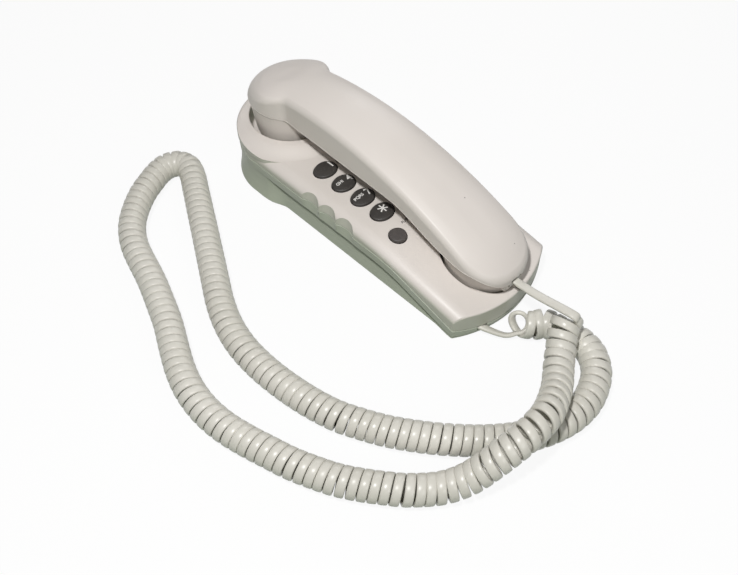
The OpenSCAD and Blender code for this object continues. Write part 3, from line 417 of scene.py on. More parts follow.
def relief_at(y, share):
    """Depth of the plinth under the band; none at the leg."""
    leg = smooth((LEG_Y + LEG_BLEND/2 - y)/LEG_BLEND)
    lip = smooth((lip_at(y) - LIP_END)/LIP_BLEND)
    return CREASE + (PLINTH_IN + PLINTH_LEAN*share)*leg*lip


def flared(ring, share):
    """Ring of the leg spread outwards under the ear end."""
    out = []
    for x, y, z in ring:
        if y <= EAR_C:
            dx = share*LEG_FLARE*smooth((y - LEG_Y + LEG_BLEND)/LEG_BLEND)
            out.append((x + math.copysign(dx, x), y, z))
        else:
            r = math.hypot(x, y - EAR_C)
            k = 1 + share*LEG_FLARE*(x/r)**2/r
            out.append((x*k, EAR_C + (y - EAR_C)*k, z))
    return out


def side_in(y, ds, kind, share):
    """Inset of the side wall, with a share of its flutes or relief."""
    if kind == DECK:
        return math.sqrt(ds*ds + flute_at(y)**2)
    return ds + (share*flute_at(y) if kind == BAND else relief_at(y, share))


def mirrored(half):
    """Whole ring from its half at positive x."""
    return half + [(-x, y, z) for x, y, z in half[-2:0:-1]]


def base_ring(ds, de, kind, share=1.0):
    """Outline of the base, inset at the sides and the mouth end; the third number marks that end."""
    e = CREASE if kind == PLINTH else 0
    w, rb = HW - ds - e, BOW_R - de - e
    rf = max(CORNER_MIN, CORNER_R - max(ds, de)/2)
    cx = w - rf
    cy = BOW_C - math.sqrt((rb - rf)**2 - cx*cx)
    a1 = math.degrees(math.asin(cx/(rb - rf)))
    half = [(rb*sind(a), BOW_C - rb*cosd(a), 1) for a in steps(0, a1, BOW_N)]
    half += [(cx + rf*sind(a), cy - rf*cosd(a), 1 - i/CORNER_N)
             for i, a in enumerate(steps(a1, 90, CORNER_N)) if 0 < i < CORNER_N]
    f0, f1 = FLUTE_MID - 1.5*FLUTE_PITCH - 1, FLUTE_MID + 1.5*FLUTE_PITCH + 1
    ys = steps(cy, f0, SIDE_N)[:-1] + steps(f0, f1, FLUTE_N) + steps(f1, EAR_C, SIDE_N)[1:-1]
    # The side meets the corner at full width, so the flutes and relief fade in from there
    half += [(HW - (ds + e if i == 0 else side_in(y, ds, kind, share)), y, 0) for i, y in enumerate(ys)]
    half += [(0 if i == EAR_N else w*cosd(a), EAR_C + w*sind(a), 0)
             for i, a in enumerate(steps(0, 90, EAR_N))]
    return mirrored(half)


def inset_of(x, y):
    """Distance from the straight sides and the round ear end."""
    return HW - math.hypot(x, y - EAR_C) if y > EAR_C else HW - abs(x)


def deck_ring(a, t):
    """Ring of the rolled deck edge at an angle, at a depth under the skin."""
    ring = []
    for x, y, end in base_ring(t + (ROLL_W - t/2)*(1 - cosd(a)), t + END_ROLL*(1 - cosd(a)), DECK):
        drop = roll_drop(max(0, inset_of(x, y) - t)) + end*END_ROLL*(1 - sind(a))
        ring.append((x, y, deck_at(y) - t - drop))
    return ring


def at_height(ring, height):
    return [(x, y, height(y)) for x, y, _ in ring]


# Mouth bulge: oval rings shared by the handset and its recess

BULGE = [(10.5, 16.5, 0), (11.9, 17.9, 0.25), (13, 19, 0.8), (13.9, 19.9, 1.6), (14.6, 20.6, 2.6),
         (15.5, 21.4, 6), (16.4, 22.2, 10)]
RIM_W, RIM_L = 19.4, 23
OVAL_N, KEY_N = 96, 64


def oval(a, b, height):
    """Oval about the mouth."""
    ring = []
    for i in range(OVAL_N):
        t = 360*i/OVAL_N
        x, y = a*sind(t), MOUTH_Y - b*cosd(t)
        ring.append((x, y, height(y)))
    return ring


def bulge_rings(m, low):
    return [oval(a + m, b + m, lambda y, h=h: low + h) for a, b, h in BULGE]


KEY_W, KEY_D, PITCH_X, PITCH_Y, KEYPAD_Y = 15.2, 11.8, 17.4, 15.5, 2.5
KEY_RISE, KEY_TRAVEL, ROUND_D, ROUND_X, ROUND_Y = 1.7, 1.5, 10, 23.2, -38.4
KEY_GAP, LAP, FLANGE_T, DOME_R, STEM_R, SLIP, CAP_EDGE, HOLE_EDGE = 0.35, 0.55, 1, 30, 3, 0.3, 0.55, 0.4
KEY_STUB, ROUND_STUB = 1.9, 0.6
BOARD_DROP, MAT_T = 8, 1.2
MAT_TOP = DECK_Z - WALL - BOARD_DROP + MAT_T
LETTERS = {"2": "ABC", "3": "DEF", "4": "GHI", "5": "JKL", "6": "MNO", "7": "PQRS", "8": "TUV", "9": "WXYZ"}
# Place, size and stub height of each key
KEYS = {}
for row, names in enumerate((("1", "2", "3"), ("4", "5", "6"), ("7", "8", "9"), ("star", "0", "hash"))):
    for col, key in enumerate(names):
        KEYS[key] = ((col - 1)*PITCH_X, KEYPAD_Y + PITCH_Y*(1.5 - row), KEY_W, KEY_D, KEY_STUB)
KEYS["flash"] = (-ROUND_X, ROUND_Y, ROUND_D, ROUND_D, ROUND_STUB)
KEYS["redial"] = (ROUND_X, ROUND_Y, ROUND_D, ROUND_D, ROUND_STUB)


def ellipse(x, y, a, b, height):
    """Outline of a key, a wide and b deep."""
    ring = []
    for i in range(KEY_N):
        t = 360*i/KEY_N
        v = y + b/2*sind(t)
        ring.append((x + a/2*cosd(t), v, height(v)))
    return ring


def key_hole(x, y, a, b):
    """Hole in the deck with a rounded edge."""
    g, f = 2*KEY_GAP, HOLE_EDGE
    rings = [ellipse(x, y, a + g, b + g, lambda v: DECK_Z - WALL - CLEAR)]
    for t in steps(0, 90, 4):
        grow = 2*f*(1 - cosd(t))
        rings.append(ellipse(x, y, a + g + grow, b + g + grow, lambda v, t=t: deck_at(v) - f + f*sind(t)))
    grow = 2*f
    rings.append(ellipse(x, y, a + g + grow, b + g + grow, lambda v: DECK_Z + CLEAR))
    return stack("hole", rings)


def base_top():
    """Deck with its ear ring, recesses and key holes."""
    seam = lambda y: seam_at(y) + SEAM_GAP
    rings = [deck_ring(a, WALL) for a in (90, 60, 30, 0)]
    rings += [at_height(base_ring(WALL, WALL, BAND), seam), at_height(base_ring(EDGE, EDGE, BAND, SEAM_FLUTE), seam),
              at_height(base_ring(0, 0, BAND, SEAM_FLUTE), lambda y: seam(y) + EDGE)]
    rings += [deck_ring(a, 0) for a in steps(0, 90, 14)]
    cover = loft("base_top_shell", rings)
    # Ear ring: a slope round the recess, kept inside a rounded outer edge
    low = COLLAR_Z - 1
    r = HW + RING_PROUD
    edge = [(r - RING_EDGE + RING_EDGE*cosd(a), RING_Z - RING_EDGE + RING_EDGE*sind(a)) for a in steps(0, 90, 8)]
    slope = [(RING_TOP_R + RING_SLOPE*(1 - t), DECK_Z - RING_SINK + (RING_RISE + RING_SINK)*smooth(t))
             for t in steps(0, 1, 16)]
    ring = boolean(lathe("ring", [(RING_TOP_R + RING_SLOPE, low)] + slope, (0, EAR_Y), 160),
                   lathe("ring_cut", [(r, low)] + edge, (0, EAR_C), 160), "INTERSECT")
    boolean(cover, ring, "UNION")
    boolean(cover, lathe("cup", [(EAR_RECESS_R + CUP_WALL, EAR_FLOOR - CUP_WALL),
                                 (EAR_RECESS_R + CUP_WALL, DECK_Z - 0.3)], (0, EAR_Y), 96), "UNION")
    # Collar under the ring, round the ear end
    edge = [(HW - d, COLLAR_Z - h) for d, h in COLLAR_EDGE]
    collar = lathe("collar", [(HW - HAIR, COLLAR_LOW)] + edge, (0, EAR_C), 160)
    inside = [(HW - COLLAR_T, z) for z in COLLAR_KEEP[4:]]
    boolean(collar, lathe("collar_in", inside, (0, EAR_C), 96), "DIFFERENCE")
    boolean(collar, box("collar_keep", *COLLAR_KEEP), "INTERSECT")
    boolean(cover, collar, "UNION")
    # Well of the mouth bulge, as far as the walls
    side = base_ring(WALL/2, WALL/2, BAND)
    fill = loft("fill", [
        at_height(side, lambda y: FLOOR_Z),
        at_height(side, lambda y: min(seam_at(y) + WALL, deck_at(y) - ROLL_H - WALL)), deck_ring(90, WALL/2)])
    m = MOUTH_GAP + CUP_WALL
    well = stack("well", bulge_rings(m, MOUTH_FLOOR - CUP_WALL) + [oval(RIM_W + m, RIM_L + m, lambda y: DECK_Z)])
    boolean(cover, boolean(well, fill, "INTERSECT"), "UNION")

    # Recesses of the ear cup and the mouth bulge
    r, foot, fillet, lip = EAR_RECESS_R, EAR_RECESS_R - RECESS_FOOT, RECESS_FILLET, RECESS_LIP
    recess = [(foot, EAR_FLOOR)]
    recess += [(foot + fillet*sind(a), EAR_FLOOR + fillet - fillet*cosd(a)) for a in steps(15, 90, 5)]
    recess += [(r + lip - lip*cosd(a), RING_Z - lip + lip*sind(a)) for a in steps(0, 90, 6)]
    recess += [(r + lip, RING_Z + CLEAR)]
    boolean(cover, lathe("recess", recess, (0, EAR_Y), 128), "DIFFERENCE")
    f = MOUTH_LIP
    low_rings = bulge_rings(MOUTH_GAP, MOUTH_FLOOR)
    low_rings = [[(x, y, min(z, deck_at(y) - f - 0.2*(len(low_rings) - i))) for x, y, z in ring]
                 for i, ring in enumerate(low_rings)]
    rim = []
    for t in steps(0, 90, 5):
        grow = MOUTH_GAP + f*(1 - cosd(t))
        rim.append(oval(MOUTH_HOLE_W + grow, MOUTH_HOLE_L + grow, lambda y, t=t: deck_at(y) - f + f*sind(t)))
    rim.append(oval(MOUTH_HOLE_W + grow, MOUTH_HOLE_L + grow, lambda y: DECK_Z + CLEAR))
    boolean(cover, stack("mouth_recess", low_rings + rim), "DIFFERENCE")
    holes = [key_hole(x, y, a, b) for x, y, a, b, _ in KEYS.values()]
    hook = [(HOOK_HOLE_R, EAR_FLOOR - CLEAR), (HOOK_HOLE_R, EAR_FLOOR + CLEAR)]
    holes.append(lathe("hook_hole", hook, (0, HOOK_Y), 48))
    boolean(cover, merge("holes", holes), "DIFFERENCE")
    boolean(cover, passage(), "DIFFERENCE")
    return finish_solid(cover)


def passage():
    """Way out for the base lead, through both covers."""
    return box("passage", JACK_X - PASSAGE_W, JACK_X + PASSAGE_W, Y_MOUTH - THROUGH, JACK_Y + 0.6,
               EXIT_Z - PASSAGE_H, EXIT_Z + PASSAGE_H)


def base_bottom():
    """Band, plinth and leg, with the openings underneath."""
    seam = lambda y: seam_at(y) - SEAM_GAP
    rings = []
    for a in steps(0, 90, 4):
        c = CHAMFER*(1 - sind(a))
        rings.append(flared(at_height(base_ring(c, c, PLINTH, 0), lambda y, a=a: FOOT_H + CHAMFER*(1 - cosd(a))), 1))
    for t in (0.2, 0.4, 0.6, 0.75):
        plinth = at_height(base_ring(0, 0, PLINTH, t), lambda y, t=t: lerp(FOOT_H + CHAMFER, lip_at(y), t))
        rings.append(flared(plinth, (1 - t)**2))
    lip = lambda y: lip_at(y) + HAIR
    rings += [at_height(base_ring(0, 0, PLINTH), lip_at), at_height(base_ring(EDGE, EDGE, BAND, LIP_FLUTE), lip),
              at_height(base_ring(0, 0, BAND, LIP_FLUTE), lambda y: lip(y) + EDGE),
              at_height(base_ring(-BAND_PROUD, -BAND_PROUD, BAND, SEAM_FLUTE), lambda y: seam(y) - LEDGE),
              at_height(base_ring(LEDGE, LEDGE, BAND, SEAM_FLUTE), seam),
              at_height(base_ring(WALL, WALL, BAND), seam)]
    # Inside, down to the floor
    rings += [
        at_height(base_ring(WALL, WALL, BAND),
                  lambda y: min(seam(y) - SEAM_KEEP, max(lip_at(y) + WALL, FLOOR_Z + 2*FLOOR_STEP))),
        at_height(base_ring(WALL, WALL, PLINTH), lambda y: max(lip_at(y), FLOOR_Z + FLOOR_STEP)),
        at_height(base_ring(WALL + FLOOR_IN, WALL + FLOOR_IN, PLINTH), lambda y: FLOOR_Z)]
    cover = loft("base_bottom_shell", rings)
    low, high = FOOT_H - THROUGH, FLOOR_Z + THROUGH
    cuts = [lathe("well", [(WELL_R, low), (WELL_R, WELL_TOP)], (x, y), 32) for x in SCREWS_X for y in SCREWS_Y]
    cuts += [lathe("foot", [(FOOT_R, low), (FOOT_R, FOOT_H + FOOT_SINK)], (x, y), 40) for x in FEET_X for y in FEET_Y]
    cuts += [lathe("sound", [(SOUND_R, low), (SOUND_R, high)],
                   (RINGER_RING*cosd(a), RINGER_Y + RINGER_RING*sind(a)), 20) for a in range(0, 360, 60)]
    cuts += [box("switch", *SWITCH_WINDOW), box("line", *LINE_WINDOW)]
    for y in SLOTS_Y:
        slot = lathe("slot", [(SLOT_R, low), (SLOT_R, high)], (0, y), 40)
        boolean(slot, lathe("slot_end", [(SLOT_W, low), (SLOT_W, high)], (0, y + SLOT_RUN), 32), "UNION")
        boolean(slot, box("slot_run", -SLOT_W, SLOT_W, y, y + SLOT_RUN, low, high), "UNION")
        cuts.append(slot)
    boolean(cover, merge("cuts", cuts), "DIFFERENCE")
    boolean(cover, passage(), "DIFFERENCE")
    return finish_solid(cover)


# Handset, from the same curves as the part's source

HEAD_R, NECK_W, MOUTH_W, HAND_WALL = 25, 18.5, 22, 2.2
HAND_Z, CROWN_Z, NECK_FALL, SEAM_FALL, EAR_LEAN = 49, 70.8, 2.3, 10.7, 6.5
HAND_ROLL_W, HAND_ROLL_H, HEAD_ROLL_W, HEAD_ROLL_H, CROWN, RIM_H, CROSS = 3.4, 4.2, 6, 7, 1.6, 0.6, 0.004
TIP_Y, ARCH_Y, ARCH_R, NOSE, NOSE_L = Y_MOUTH + 2, 22, 225, 8.5, 18
BAR_RISE, BAR_LOW, BAR_HIGH, BAR_BLEND = 2, -62, 52, 30
NECK_Y, NECK_RUN, DIP_Y, DIP_RUN, HEAD_Y, HEAD_RUN = 60, 40, -25, 60, 66, 29
LEAN_Y, LEAN_RUN, LEAN_H = 60, 30, 15
CROWN_IN, CROWN_RUN = (5.5, 7, 8.5, 10, 12, 14, 15.5, 17), 14.3
TIP_N, BAR_N, NOTCH_N, HEAD_N = 36, 40, 16, 60
MOUTH_LEN, MOUTH_POW, NOTCH_R = 23, 2.3, 8
NOTCH_Y = EAR_Y - math.sqrt((HEAD_R + NOTCH_R)**2 - (NECK_W + NOTCH_R)**2)
NOTCH_A = math.degrees(math.asin((EAR_Y - NOTCH_Y)/(HEAD_R + NOTCH_R)))
UNDER_H, UNDER_IN, FLOOR_H, CUP_FACE, CUP_R, CUP_T, CUP_DRAFT = 6.2, 7, 3.8, EAR_FLOOR + 3.2, HEAD_R - 0.6, 2.2, 2.6
BULGE_LOW, CUP_FILLET = MOUTH_FLOOR + 1.2, 2.6
# Bevel of the underside: shares of its inset and depth, and of the rise that it gives back;
# the inside has its inset past the wall
UNDER = ((1, 1, 1), (0.88, 0.97, 1), (0.75, 0.9, 0.95), (0.58, 0.74, 0.8), (0.4, 0.56, 0.6))
INSIDE = ((0.6, 0.35, 0.4), (3, 1, 1))
CUP_RING, MIC_X, HAND_SCREWS_Y, WELL_ROOF = 6, (-4, 0, 4), (-38, 41), 2.4
SEAT_W, SEAT_H, SEAT_Y0, SEAT_Y1, WAY_W, WAY_H = 5.6, 4.3, TIP_Y + 2.6, TIP_Y + 15.2, 4, 3.3
PAD_N, PAD_W, PAD_L, PAD_Y, PAD_DROP, PAD_POW = 48, 6.8, 7.3, TIP_Y + 8.8, 5.6, 0.3
PAD_EDGE = ((1, 0), (0.4, 0.2), (0.1, 0.5), (0, 1))


def rim_rise(y):
    """The edge of the bar stands a little higher than its flat underside asks."""
    return BAR_RISE*smooth((BAR_HIGH - y)/BAR_BLEND)*smooth((y - BAR_LOW)/BAR_BLEND)


def hand_seam(y):
    """Height of the line between the shells."""
    return (HAND_Z - NECK_FALL*smooth((NECK_Y - y)/NECK_RUN) - SEAM_FALL*smooth((DIP_Y - y)/DIP_RUN)
            - NOSE*max(0, (TIP_Y + NOSE_L - y)/NOSE_L)**2 + rim_rise(y))


def hand_top(y):
    """Height of the arched back."""
    return CROWN_Z - (y - ARCH_Y)**2/(2*ARCH_R)


def hand_ring(d):
    """Outline of the handset at an inset: mouth end, bar, notch and head."""
    c, q, nr = TIP_Y + MOUTH_LEN, 2/MOUTH_POW, NOTCH_R + d
    half = [((MOUTH_W - d)*max(0, sind(t))**q, c - (MOUTH_LEN - d)*max(0, cosd(t))**q, 0) for t in steps(0, 90, TIP_N)]
    half += [(lerp(MOUTH_W, NECK_W, i/BAR_N) - d, lerp(c, NOTCH_Y, i/BAR_N), 0) for i in range(1, BAR_N)]
    half += [(NECK_W + NOTCH_R + nr*cosd(a), NOTCH_Y + nr*sind(a), 0) for a in steps(180, 180 - NOTCH_A, NOTCH_N)]
    half += [(0 if i == HEAD_N else (HEAD_R - d)*cosd(a), EAR_Y + (HEAD_R - d)*sind(a), 0)
             for i, a in enumerate(steps(-NOTCH_A, 90, HEAD_N)) if i > 0]
    return mirrored(half)


def head_share(y):
    """How far a place belongs to the head."""
    return smooth((y - HEAD_Y)/HEAD_RUN)


def lean(y):
    """How far the ear end leans towards the mouth."""
    return EAR_LEAN*smooth((y - LEAN_Y)/LEAN_RUN)


def leant(x, y, z):
    """The lean grows with the height over the seam."""
    return x, y - min(1, max(0, (z - HAND_Z)/LEAN_H))*lean(y), z


def crown_at(x, y):
    """Arched along the bar, slightly round across it, and flatter over the ear."""
    return hand_top(y - lean(y)/2) - CROSS*x*x


RIM_0, RIM_1 = hand_ring(0), hand_ring(1)


def hand_edge(a, t):
    """Ring of the rolled edge of the back at an angle, at a depth under the skin."""
    ring = []
    for (x0, y0, _), (x1, y1, _) in zip(RIM_0, RIM_1):
        share = head_share(y0)
        d = t + max(0, lerp(HAND_ROLL_W, HEAD_ROLL_W, share) - t/2)*(1 - cosd(a))
        x, y = lerp(x0, x1, d), lerp(y0, y1, d)
        high = crown_at(x, y) - CROWN - t
        drop = max(0, lerp(HAND_ROLL_H, HEAD_ROLL_H, head_share(y)) - t/2)
        ring.append(leant(x, y, high - min(high - hand_seam(y) - RIM_H, drop)*(1 - sind(a))))
    return ring


def hand_crown(d, sag):
    """Ring on the back at an inset."""
    return [leant(x, y, crown_at(x, y) - sag) for x, y, _ in hand_ring(d)]


def hand_under(d, h, share=0.0):
    """Ring under the seam at an inset and depth."""
    return at_height(hand_ring(d), lambda y: hand_seam(y) - h - share*rim_rise(y))


def jack_way():
    """Seat of the handset's jack, and the way in for its plug."""
    seat = box("jack_seat", -SEAT_W, SEAT_W, SEAT_Y0, SEAT_Y1, HAND_JACK_Z - SEAT_H, HAND_JACK_Z + SEAT_H)
    way = box("jack_way", -WAY_W, WAY_W, TIP_Y - THROUGH, SEAT_Y0 + 0.3, HAND_JACK_Z - WAY_H, HAND_JACK_Z + WAY_H)
    return boolean(seat, way, "UNION")


def jack_pad(d, height):
    """Rounded housing of the jack under the nose."""
    ring = []
    for i in range(PAD_N):
        sx, cy = sind(360*i/PAD_N), cosd(360*i/PAD_N)
        x = (PAD_W - d)*math.copysign(abs(sx)**PAD_POW, sx)
        y = PAD_Y - (PAD_L - d)*math.copysign(abs(cy)**PAD_POW, cy)
        ring.append((x, y, height(y)))
    return ring


def handset_outer():
    """Arched back with a rolled edge."""
    w = HAND_WALL
    seam = lambda y: hand_seam(y) + SEAM_GAP
    rings = [hand_crown(14, w + 0.4), hand_edge(90, w), hand_edge(45, w), hand_edge(0, w)]
    rings += [at_height(hand_ring(w), seam), at_height(hand_ring(EDGE), seam),
              at_height(hand_ring(0), lambda y: seam(y) + EDGE)]
    rings += [hand_edge(a, 0) for a in steps(0, 72, 14)]
    rings += [hand_crown(d, CROWN*((CROWN_IN[-1] - d)/CROWN_RUN)**2) for d in CROWN_IN]
    shell = loft("handset_back", rings, 60)
    boolean(shell, jack_way(), "DIFFERENCE")
    return finish_solid(shell, 40)


def cup_profile(t, low, high):
    """Ear cup at a depth under the skin."""
    r0, f = CUP_R - CUP_DRAFT - t, CUP_FILLET
    return [(r0 - f + f*sind(a), low + f - f*cosd(a)) for a in steps(0, 90, 6)] + [(CUP_R - t, high)]


def handset_inner():
    """Underside of the bar, ear cup and mouth bulge."""
    w = HAND_WALL
    rings = [hand_under(k*UNDER_IN, h*UNDER_H, share) for k, h, share in UNDER]
    rings += [hand_under(0, SEAM_GAP + EDGE), hand_under(EDGE, SEAM_GAP), hand_under(w, SEAM_GAP)]
    rings += [hand_under(w + d, h*FLOOR_H, share) for d, h, share in INSIDE]
    shell = loft("handset_front", rings)
    boolean(shell, lathe("cup", cup_profile(0, CUP_FACE, HAND_Z - 0.6), (0, EAR_Y), 128), "UNION")
    rim = lambda drop: (lambda y: hand_seam(y) - drop)
    boolean(shell, stack("bulge", bulge_rings(0, BULGE_LOW) + [oval(RIM_W, RIM_L, rim(3))]), "UNION")
    boolean(shell, lathe("cup_in", cup_profile(CUP_T, CUP_FACE + CUP_T, HAND_Z + 1), (0, EAR_Y), 96),
            "DIFFERENCE")
    boolean(shell, stack("bulge_in", bulge_rings(-CUP_T, BULGE_LOW + CUP_T)
                         + [oval(RIM_W - CUP_T, RIM_L - CUP_T, rim(2))]), "DIFFERENCE")
    cuts = [lathe("sound", [(SOUND_R, CUP_FACE - THROUGH), (SOUND_R, CUP_FACE + THROUGH)],
                  (CUP_RING*cosd(a), EAR_Y + CUP_RING*sind(a)), 20) for a in range(0, 360, 60)]
    cuts += [lathe("mic", [(SOUND_R, BULGE_LOW - THROUGH), (SOUND_R, BULGE_LOW + THROUGH)], (x, MOUTH_Y), 20)
             for x in MIC_X]
    for y in HAND_SCREWS_Y:
        low = hand_seam(y) - rim_rise(y)
        cuts.append(lathe("well", [(WELL_R, low - UNDER_H - THROUGH), (WELL_R, low - WELL_ROOF)], (0, y), 32))
    boolean(shell, merge("cuts", cuts), "DIFFERENCE")
    low = HAND_JACK_Z - PAD_DROP
    pad = [jack_pad(d, lambda y, h=h: low + h) for d, h in PAD_EDGE]
    boolean(shell, stack("jack_pad", pad + [jack_pad(0, rim(SEAM_GAP + HAIR))]), "UNION")
    boolean(shell, jack_way(), "DIFFERENCE")
    return finish_solid(shell)


# Keys and their marks: offsets from the key's middle, sizes, and heights over the surface

DIGIT_X, DIGIT_Y, DIGIT_SIZE, HASH_SIZE, LETTER_BOLD = 4.6, 0.4, 6.8, 6.5, 0.026
LETTERS_X, LETTERS_Y, LETTERS_SIZE = -2.4, 0.8, 2.9
STAR_X, STAR_Y, STAR_SIZE, STAR_W, STAR_N, STAR_LIFT = 1, 0.8, 6, 0.85, 8, 0.01
WORD_X, WORD_Y, WORD_SIZE, WORD_OVER, MARK_OVER = 11, 4.6, 2.2, 0.04, 0.05


def key_cap(key):
    """Stem, flange, cap with a rounded edge, and a shallow dome."""
    x, y, a, b, stub = KEYS[key]
    top = deck_at(y) + KEY_RISE
    high = deck_at(y - b/2 - KEY_GAP - LAP) - WALL - SLIP
    low = MAT_TOP + stub + SLIP + KEY_TRAVEL
    lap = 2*(KEY_GAP + LAP)
    flat = lambda z: (lambda v: z)
    rings = [ellipse(x, y, 2*STEM_R, 2*STEM_R, flat(low)), ellipse(x, y, 2*STEM_R, 2*STEM_R, flat(high - FLANGE_T)),
             ellipse(x, y, a + lap, b + lap, flat(high - FLANGE_T)), ellipse(x, y, a + lap, b + lap, flat(high)),
             ellipse(x, y, a, b, flat(high))]
    e = CAP_EDGE

    def dome(s, drop):
        ring = []
        for i in range(KEY_N):
            dx, dy = a/2*s*cosd(360*i/KEY_N), b/2*s*sind(360*i/KEY_N)
            ring.append((x + dx, y + dy, top - DOME_R + math.sqrt(DOME_R**2 - dx*dx - dy*dy) - drop))
        return ring

    for t in steps(0, 90, 5):
        rings.append(dome(1 - 2*e/b*(1 - cosd(t)), e*(1 - sind(t))))
    rings += [dome(s, 0) for s in (0.8, 0.6, 0.4, 0.2, 0.06)]
    obj = stack("cap_" + key, rings, 40)
    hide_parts("key_" + key)
    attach(obj, "button_" + key)
    return obj


def lettering(name, text, x, y, size, height, body):
    """Flat letters laid on a surface whose height is a function of place."""
    curve = bpy.data.curves.new(name, "FONT")
    curve.body = text
    curve.size = size*MM
    curve.align_x = "CENTER"
    curve.align_y = "CENTER"
    curve.resolution_u = 6
    curve.offset = LETTER_BOLD*size*MM
    holder = add(name + "_text", curve)
    deps = bpy.context.evaluated_depsgraph_get()
    mesh = bpy.data.meshes.new_from_object(holder.evaluated_get(deps))
    bpy.data.objects.remove(holder)
    bm = bmesh.new()
    bm.from_mesh(mesh)
    bmesh.ops.triangulate(bm, faces=bm.faces)
    bmesh.ops.subdivide_edges(bm, edges=bm.edges, cuts=2, use_grid_fill=True)
    for v in bm.verts:
        px, py = x + v.co.x/MM, y + v.co.y/MM
        v.co = Vector((px, py, height(px, py)))*MM
    bmesh.ops.recalc_face_normals(bm, faces=bm.faces)
    if sum(f.normal.z for f in bm.faces) < 0:
        bmesh.ops.reverse_faces(bm, faces=bm.faces)
    bm.to_mesh(mesh)
    bm.free()
    obj = add(name, mesh)
    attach(obj, body)
    return obj


def star(name, x, y, size, width, height, body):
    """Six thin arms crossing at one point, laid on the key."""
    verts, faces = [], []
    for i in range(3):
        c, s = cosd(60*i + 30), sind(60*i + 30)
        for k in range(STAR_N + 1):
            for side in (-1, 1):
                along, over = size*(k/STAR_N - 0.5), side*width/2
                px, py = x + along*c - over*s, y + along*s + over*c
                verts.append(Vector((px, py, height(px, py) + STAR_LIFT*i))*MM)
        n = 2*(STAR_N + 1)*i
        faces += [(n + 2*k, n + 2*k + 2, n + 2*k + 3, n + 2*k + 1) for k in range(STAR_N)]
    mesh = bpy.data.meshes.new(name)
    mesh.from_pydata(verts, [], faces)
    obj = add(name, mesh)
    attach(obj, body)
    return obj


top_shell = base_top()
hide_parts("base_top_cover")
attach(top_shell, "base")
bottom_shell = base_bottom()
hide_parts("base_bottom_cover")
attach(bottom_shell, "base")
hand_back = handset_outer()
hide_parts("handset_outer_shell")
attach(hand_back, "handset")
hand_front = handset_inner()
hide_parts("handset_inner_shell")
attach(hand_front, "handset")
caps = {key: key_cap(key) for key in KEYS}

white_marks, dark_marks = [], []
for key, (kx, ky, *_) in KEYS.items():
    top = deck_at(ky) + KEY_RISE + MARK_OVER
    on_key = lambda px, py, kx=kx, ky=ky, top=top: (
        top - DOME_R + math.sqrt(DOME_R**2 - (px - kx)**2 - (py - ky)**2))
    body = "button_" + key
    if key in ("flash", "redial"):
        word = lettering("word_" + key, key.upper(), kx - math.copysign(WORD_X, kx), ky + WORD_Y, WORD_SIZE,
                         lambda px, py: deck_at(py) + WORD_OVER, "base")
        dark_marks.append(word)
    elif key == "star":
        white_marks.append(star("digit_star", kx + STAR_X, ky + STAR_Y, STAR_SIZE, STAR_W, on_key, body))
    elif key == "hash":
        white_marks.append(lettering("digit_hash", "#", kx, ky, HASH_SIZE, on_key, body))
    else:
        white_marks.append(lettering("digit_" + key, key, kx + DIGIT_X, ky + DIGIT_Y, DIGIT_SIZE, on_key, body))
    if key in LETTERS:
        white_marks.append(lettering("letters_" + key, LETTERS[key], kx + LETTERS_X, ky + LETTERS_Y, LETTERS_SIZE,
                                     on_key, body))


# Hook spring: round wire between the switch and the plunger, stretched by both

SPRING_R, SPRING_WIRE, SPRING_CURLS, SPRING_STEPS = 3, 0.4, 5, 24


def hook_spring():
    low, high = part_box("hook_spring")
    r, wire, curls, n = SPRING_R, SPRING_WIRE, SPRING_CURLS, SPRING_STEPS
    z0, z1 = low[2]/MM + wire, high[2]/MM - wire
    cy = (low[1] + high[1])/2/MM
    rings = []
    for i in range(curls*n + 1):
        a = 360*i/n
        z = lerp(z0, z1, i/(curls*n))
        rings.append([((r + wire*cosd(b))*cosd(a), cy + (r + wire*cosd(b))*sind(a), z + wire*sind(b))
                      for b in range(0, 360, 45)])
    obj = stack("wire_spring", rings)
    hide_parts("hook_spring")
    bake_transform(obj)
    return obj


spring = hook_spring()


# Materials; noise scales are per metre

IOR = 1.46


def given(shader, **values):
    """Sets inputs of a shader; an underscore stands for a space."""
    for key, value in values.items():
        shader.inputs[key.replace("_", " ")].default_value = value
    return shader


